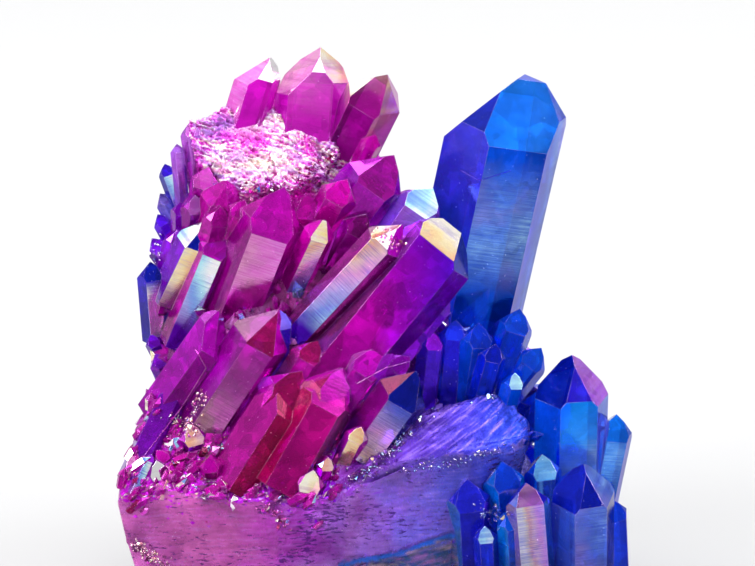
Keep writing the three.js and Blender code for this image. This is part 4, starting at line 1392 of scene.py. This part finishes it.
def turned_sides(way, turn):
    """Two ways square to a way and to each other."""
    side = unit(np.cross(way, ASKEW))
    other = np.cross(way, side)
    return side * math.cos(turn) + other * math.sin(turn), other * math.cos(turn) - side * math.sin(turn)


def uneven_point(draw, shape, sides, half, length):
    """One small crystal's places, across its axis and along it."""
    tip_height = min(half * SMALL_TIP, length * SMALL_TIP_LIMIT)
    lift = np.where(shape[:, 2] > 0, length, np.where(shape[:, 2] < 0, -half, length - tip_height))
    uneven = 1 + SMALL_UNEVEN * (draw.random(len(shape)) - 0.5)
    uneven[sides:2 * sides] = uneven[:sides]
    flatness = SMALL_FLATTEST + SMALL_FLAT_SPREAD * draw.random()
    flat = shape[:, :2] * (half * uneven)[:, None] * (flatness, 1)
    flat[2 * sides] = (draw.random(2) - 0.5) * half * SMALL_OFF_MIDDLE
    lift[sides:2 * sides] += (draw.random(sides) - 0.5) * tip_height * SMALL_SHOULDER
    return flat, lift


def grow(name, rows, seed, sides=SIDES):
    """Joins small crystals into one piece. Each row is (foot, way, half width, length, finish, hue)."""
    draw = np.random.default_rng(seed)
    shape, shape_faces = small_point(sides)
    shards = Shards()
    for foot, way, half, length, finish_name, hue in rows:
        side, other = turned_sides(way, draw.random() * math.tau)
        flat, lift = uneven_point(draw, shape, sides, half, length)
        start = len(shards.vertices)
        shards.vertices.extend(foot + flat[:, :1] * side + flat[:, 1:] * other + lift[:, None] * way)
        for number, corners in enumerate(shape_faces):
            glinting = draw.random() < GLINT_SHARE
            finish = FINISHES[str(draw.choice(GLINTS)) if glinting else finish_name]
            inside = ramp(hue if finish.hue is None else finish.hue, HUE_STOPS, HUE_COLOURS)
            shade = finish.tone * (SMALL_TONE + SMALL_TONE_SPREAD * draw.random())
            film = finish.tip + SMALL_FILM_SPREAD * (draw.random() - 0.5)
            cover = finish.cover * (SMALL_COVER + SMALL_COVER_SPREAD * draw.random())
            own_number = number + start % SMALL_NUMBERS
            face = [start + corner for corner in corners]
            facets = [
                (flat[corner, 0] * SMALL_LINES, (lift[corner] - length) * SMALL_LINES, own_number)
                for corner in corners
            ]
            shards.add_face(face, np.clip(inside * shade, 0, 1), cover, film, finish.mirror, facets)
    shards.build(name)


def walk(line):
    """How long a line is, and a function that gives the place at some length along it."""
    line = np.array(line, float)
    steps = np.concatenate(([0], np.cumsum(np.linalg.norm(np.diff(line, axis=0), axis=1))))
    return steps[-1], lambda far: [np.interp(far, steps, line[:, axis]) for axis in (0, 1)]


def sight_to(across, rise):
    """Where the sight from in front meets the cluster, its normal there, and the kind of broken quartz
    that it is, or -1 on a crystal's face."""
    eye = Vector((0, -SIGHT_LEVEL * SIGHT_DISTANCE, SIGHT_HEIGHT + SIGHT_DROP * SIGHT_DISTANCE))
    way = (Vector(sighted((across, rise, 0))) - eye).normalized()
    nearest = None
    for solid, face_kinds in SOLIDS:
        hit, normal, index, far = solid.ray_cast((eye + Vector(ORIGIN_SHIFT)) * MM, way)
        if hit is not None and (nearest is None or far < nearest[0]):
            nearest = far, list_places(hit), np.array(normal), face_kinds[index]
    return nearest and nearest[1:]


def ridge_vertices(stations, width):
    """A low three-sided strip over the stations, narrow at both ends."""
    made = []
    last = len(stations) - 1
    for number, (place, normal) in enumerate(stations):
        ahead = stations[min(number + 1, last)][0] - stations[max(number - 1, 0)][0]
        side = np.cross(ahead, normal)
        side *= width / 2 / max(np.linalg.norm(side), TINY)
        if number in (0, last):
            side *= RIDGE_END
        low = place - normal * RIDGE_SUNK
        made.extend((low - side, place + normal * RIDGE_HEIGHT, low + side))
    return made


def ridge_faces(start, spans):
    faces = []
    for here in range(start, start + 3 * spans, 3):
        for first, second in ((0, 1), (1, 2), (2, 0)):
            faces.append((here + first, here + second, here + 3 + second, here + 3 + first))
    end = start + 3 * spans
    return [*faces, (start, start + 2, start + 1), (end, end + 1, end + 2)]


def ridges(name, rows):
    """Thin raised edges along lines that are seen from in front. Each row is (line, width, finish)."""
    shards = Shards()
    for line, width, finish_name in rows:
        finish = FINISHES[finish_name]
        length, place_at = walk(line)
        struck = [sight_to(*place_at(far)) for far in np.arange(0, length, RIDGE_STEP)]
        stations = [found[:2] for found in struck if found is not None]
        start = len(shards.vertices)
        shards.vertices.extend(ridge_vertices(stations, width))
        for face in ridge_faces(start, len(stations) - 1):
            tint = ramp(hue_at(shards.vertices[face[0]]), HUE_STOPS, HUE_COLOURS)
            facets = [(0, corner * RIDGE_LINES, 0) for corner in face]
            shards.add_face(face, tint, finish.cover, finish.tip, finish.mirror, facets)
    shards.build(name)


def drawn_body(draw, half, stretch, finishes):
    """A small crystal's half width, length and finish. stretch is its least and most length in those."""
    size = half[0] * (half[1] / half[0]) ** draw.random()
    length = size * lerp(*stretch, draw.random())
    names, shares = zip(*finishes)
    return size, length, str(draw.choice(names, p=np.array(shares) / sum(shares)))


def scatter(weights, count, half, stretch, finishes, seed, tilt, lean=None, hue=None):
    """Rows for grow: crystals drawn over the broken faces, more where weights are high."""
    draw = np.random.default_rng(seed)
    chances = surface.areas * weights
    rows = []
    for pick in draw.choice(len(chances), count, p=chances / chances.sum()):
        foot, normal = surface.centres[pick], surface.normals[pick]
        way = unit((normal + GROWING_UP if lean is None else lean) + tilt * draw.normal(size=3))
        body = drawn_body(draw, half, stretch, finishes)
        own_hue = (hue_at(foot) if hue is None else hue) + SMALL_HUE_SPREAD * draw.normal()
        rows.append((foot, way, *body, own_hue))
    return rows


def strewn(line, spread, count, half, stretch, finishes, seed, tilt=0.7, hue=None, only=None):
    """Rows for grow: crystals along a line that is seen from in front, each where the sight meets the
    cluster. only holds the kinds of broken quartz that they grow on, and None is anywhere."""
    draw = np.random.default_rng(seed)
    line_length, place_at = walk(line)
    rows = []
    for _ in range(count):
        seen = [value + spread * draw.normal() for value in place_at(draw.random() * line_length)]
        body = drawn_body(draw, half, stretch, finishes)
        lean = tilt * draw.normal(size=3)
        shift = SMALL_HUE_SPREAD * draw.normal()
        struck = sight_to(*seen)
        if struck is None or (only is not None and struck[2] not in only):
            continue
        foot, normal, _ = struck
        own_hue = (hue_at(foot) if hue is None else hue) + shift
        rows.append((foot, unit(normal + lean + GROWING_OUT), *body, own_hue))
    return rows


CRYSTAL = crystal_material()
BROKEN = broken_material()
cluster_solid, cluster_kinds, surface = build_cluster()
SOLIDS = ((cluster_solid, cluster_kinds), build_ledge_points())

# Each list of finishes gives how often each comes.
DRUSE_FINISHES = (("plain", 12), ("rose", 1), ("ruby", 1.5), ("lilac", 0.4))
BACK_FINISHES = (("plain", 9), ("rose", 1), ("lilac", 1), ("dark", 2), ("cyan", 0.5))
NOOK_FINISHES = (("plain", 10), ("rose", 1), ("lilac", 1), ("cyan", 0.5))
FLAKE_FINISHES = (
    ("plain", 7), ("white", 2.5), ("gold", 1.2), ("rose", 2), ("lilac", 1), ("cyan", 0.4), ("ruby", 2),
)
COLD_FLAKES = (("white", 2), ("cyan", 3), ("gold", 0.7), ("lilac", 2), ("plain", 3))
WARM_FLAKES = (("gold", 3), ("peach", 3), ("white", 0.7), ("rose", 2), ("plain", 2))
CRUST_FLAKES = (("gold", 3), ("peach", 3), ("orange", 2), ("dark", 3))
PINK_FLAKES = (("rose", 3), ("plain", 4), ("ruby", 1))

# Lines that the chips lie along, as seen from in front.
LEDGE_LINE = ((-28, -22), (-21, -25), (-15, -27), (-10, -30))
LEAF_EDGE = ((2.2, -23.4), (9, -22.6), (17.2, -20.2))
TOP_RIM = ((-22.4, 11.6), (-17.2, 10.4), (-9.7, 12.9), (-4, 16.6))
PALE_PATCH = ((-25, -17.4), (-23.2, -17.8))
PEACH_STRIP = ((-21.6, -13.8), (-23.2, -16.4))
ICE_CHIP = ((-20.6, -18.8), (-19.4, -20.6))
PINK_FOLD = ((-14, -28), (-11.2, -30))
GOLD_CRUST = ((-30.4, -32.6), (-26.6, -35.4))
MIDDLE_GLINTS = ((-1, 6.8), (3, 5), (0.5, 5.5))
LEFT_DUST = ((-28.6, 6), (-27.8, 2.6))
RIGHT_NOOK = ((13.4, -28.6), (15.3, -29.8))

# The kinds of broken quartz that some of the chips keep to.
ON_LEDGE, IN_CREVICE, ON_TOP = (LEDGE, MASS), (CURVED, MASS, LEDGE, SLAB), (TOP, MASS)

# The chips: (line, spread, count, half widths, lengths in half widths, finishes, seed, what else).
FLAKES = (
    (LEDGE_LINE, 2.2, 600, (0.06, 0.3), (0.5, 1.5), FLAKE_FINISHES, 61, {"hue": 0.06, "only": ON_LEDGE}),
    (PALE_PATCH, 0.7, 90, (0.12, 0.4), (0.4, 0.9), WARM_FLAKES, 69, {"tilt": 0.3, "hue": 0.1}),
    (PEACH_STRIP, 0.35, 50, (0.1, 0.35), (0.4, 1.0), WARM_FLAKES, 70, {"tilt": 0.3, "hue": 0.1}),
    (ICE_CHIP, 0.4, 40, (0.1, 0.4), (0.4, 1.0), COLD_FLAKES, 71, {"tilt": 0.4}),
    (PINK_FOLD, 0.5, 60, (0.1, 0.4), (0.5, 1.5), PINK_FLAKES, 72, {"hue": 0.05}),
    (LEAF_EDGE, 0.3, 150, (0.05, 0.24), (0.5, 1.5), COLD_FLAKES, 62, {}),
    (CREVICE, 0.6, 300, (0.07, 0.42), (0.5, 1.7), COLD_FLAKES, 63, {"only": IN_CREVICE}),
    (TOP_RIM, 0.8, 300, (0.08, 0.42), (0.5, 1.5), FLAKE_FINISHES, 64, {"hue": 0.08, "only": ON_TOP}),
    (GOLD_CRUST, 0.4, 170, (0.1, 0.34), (0.4, 1.1), CRUST_FLAKES, 65, {"hue": 0.1}),
    (MIDDLE_GLINTS, 0.6, 50, (0.08, 0.4), (0.5, 1.6), WARM_FLAKES, 66, {"hue": 0.1}),
    (LEFT_DUST, 0.6, 60, (0.06, 0.28), (0.5, 1.6), COLD_FLAKES, 67, {"hue": 0.4}),
    (RIGHT_NOOK, 0.8, 50, (0.08, 0.4), (0.5, 1.6), COLD_FLAKES, 68, {}),
)
FLAKES_SEED, FLAKE_SIDES = 25, 3

# The raised edges: (line, width, finish).
RIDGES = (
    (((-22.8, -8.2), (-21.4, -10.6), (-24.4, -15.4), (-31, -24)), 0.2, "rose"),
    (((-2.6, -12.6), (1, -10.6), (6, -9.3)), 0.16, "lilac"),
    (((10.4, 14.1), (12.8, 12.8), (16.8, 14.1)), 0.14, "navy"),
)

# The small crystals on the broken faces: how many, their half widths, their lengths in half widths,
# their finishes, a seed and how far they stray. UP_RIGHT is the way that the ledge's grow.
UP_RIGHT = np.array((0.62, -0.25, 0.74))
LEDGE_DRUSE = (130, (0.3, 0.85), (1.4, 3.0), DRUSE_FINISHES, 21, 0.25, UP_RIGHT, 0.06)
BACK_DRUSE = (700, (0.5, 1.7), (1.6, 3.2), BACK_FINISHES, 41, 0.4)
NOOK_DRUSE = (420, (0.25, 0.9), (1.4, 2.8), NOOK_FINISHES, 51, 0.5)
LEDGE_SEED, REAR_SEED, NOOK_SEED = 22, 42, 52
BACK_START, BASE_CLEARANCE, NOOK_FOOT = 2, 2.5, 22

# A gap behind the tall left point, which the small crystals of the back keep out of.
GAP_ACROSS, GAP_FOOT = (0.5, 8), 46


def add_druse():
    """The small crystals on the ledge, on the back, and between the points of the front."""
    x, y, z = surface.centres.T
    mass = surface.kinds == MASS
    clear_of_gap = (x < GAP_ACROSS[0]) | (x > GAP_ACROSS[1]) | (z < GAP_FOOT)
    on_back = mass & (y > BACK_START) & (z > BASE_CLEARANCE) & clear_of_gap
    in_nooks = mass & (y <= BACK_START) & (z > NOOK_FOOT)
    grow("ledge_druse", scatter(surface.kinds == LEDGE, *LEDGE_DRUSE), LEDGE_SEED)
    flakes = [row for (*chips, more) in FLAKES for row in strewn(*chips, **more)]
    grow("flakes", flakes, FLAKES_SEED, FLAKE_SIDES)
    ridges("edge_ridges", RIDGES)
    grow("back_druse", scatter(on_back, *BACK_DRUSE), REAR_SEED)
    grow("nook_druse", scatter(in_nooks, *NOOK_DRUSE), NOOK_SEED)


# ---------------------------------------------------------------- floor, light and camera

FLOOR_GREY, FLOOR_ROUGHNESS = (0.28, 0.28, 0.283, 1), 0.6
FLOOR_REACH_M, FLOOR_DROP_M = 3.0, 0.00005
BACKGROUND = (0.97, 0.97, 0.98, 1)
SKY_LOW, SKY_HIGH = 0.8, 2.0
SKY_FOOT, SKY_TOP = 0.1, 0.7
SENSOR, LENS = 36, 99.94
NEAREST_M, FURTHEST_M = 0.01, 10
LIT_PLACE_M = (0, 0, 0.035)

# The lamps: (name, place in metres, size in metres, power in watts).
LAMPS = (
    ("top_softbox", (0.0, 0.4, 1.6), (1.5, 1.2), 40),
    ("left_softbox", (-1.5, -0.75, 0.9), (0.9, 1.4), 44),
    ("right_softbox", (1.6, -0.3, 1.0), (0.9, 1.4), 30),
)


def facing(way):
    return way.to_track_quat("-Z", "Y").to_euler()


def add_floor():
    material, n = new_material("floor_white")
    n.end_in(n.node("BsdfPrincipled", **{"Base Color": FLOOR_GREY, "Roughness": FLOOR_ROUGHNESS}))
    reach = FLOOR_REACH_M
    mesh = bpy.data.meshes.new("floor")
    corners = [(-reach, -reach, 0), (reach, -reach, 0), (reach, reach, 0), (-reach, reach, 0)]
    mesh.from_pydata(corners, [], [(0, 1, 2, 3)])
    mesh.materials.append(material)
    floor = add_object("floor", mesh)
    floor.location.z = -FLOOR_DROP_M


def add_lamp(name, place, size, power):
    data = bpy.data.lights.new(name, "AREA")
    data.shape = "RECTANGLE"
    data.size, data.size_y = size
    data.energy = power
    lamp = add_object(name, data)
    lamp.location = place
    lamp.rotation_euler = facing(Vector(LIT_PLACE_M) - Vector(place))
    lamp.visible_camera = False


def add_world():
    """Soft light that is stronger from above, and an even pale background for the camera."""
    world = bpy.data.worlds.new("studio")
    world.use_nodes = True
    n = Nodes(world.node_tree, "World")
    parts = n.node("SeparateXYZ", i0=n.node("TexCoord").outputs["Generated"])
    sky = n.spread(parts.outputs["Z"], SKY_FOOT, SKY_TOP, SKY_LOW, SKY_HIGH, kind="LINEAR")
    lighting = n.node("Background", Strength=sky)
    seen = n.node("Background", Color=BACKGROUND)
    to_camera = n.node("LightPath").outputs["Is Camera Ray"]
    n.end_in(n.node("MixShader", i0=to_camera, i1=lighting.outputs[0], i2=seen.outputs[0]))
    bpy.context.scene.world = world


def add_camera():
    data = bpy.data.cameras.new("camera")
    data.sensor_width = SENSOR
    data.lens = LENS
    data.clip_start, data.clip_end = NEAREST_M, FURTHEST_M
    camera = add_object("camera", data)
    target = Vector((ORIGIN_SHIFT[0], ORIGIN_SHIFT[1], SIGHT_HEIGHT)) * MM
    away = Vector((0, -SIGHT_LEVEL, SIGHT_DROP))
    camera.location = target + away * SIGHT_DISTANCE * MM
    camera.rotation_euler = facing(-away)
    bpy.context.scene.camera = camera


add_druse()
add_floor()
add_world()
add_camera()
for lamp in LAMPS:
    add_lamp(*lamp)

scene = bpy.context.scene
scene.view_settings.view_transform = "Standard"
scene.view_settings.look = "None"
scene.cycles.max_bounces = 16
scene.cycles.transmission_bounces = 14
scene.cycles.glossy_bounces = 6
scene.cycles.diffuse_bounces = 3
scene.cycles.transparent_max_bounces = 8
scene.cycles.caustics_reflective = False
scene.cycles.caustics_refractive = True
scene.cycles.sample_clamp_indirect = 6
scene.cycles.use_denoising = True
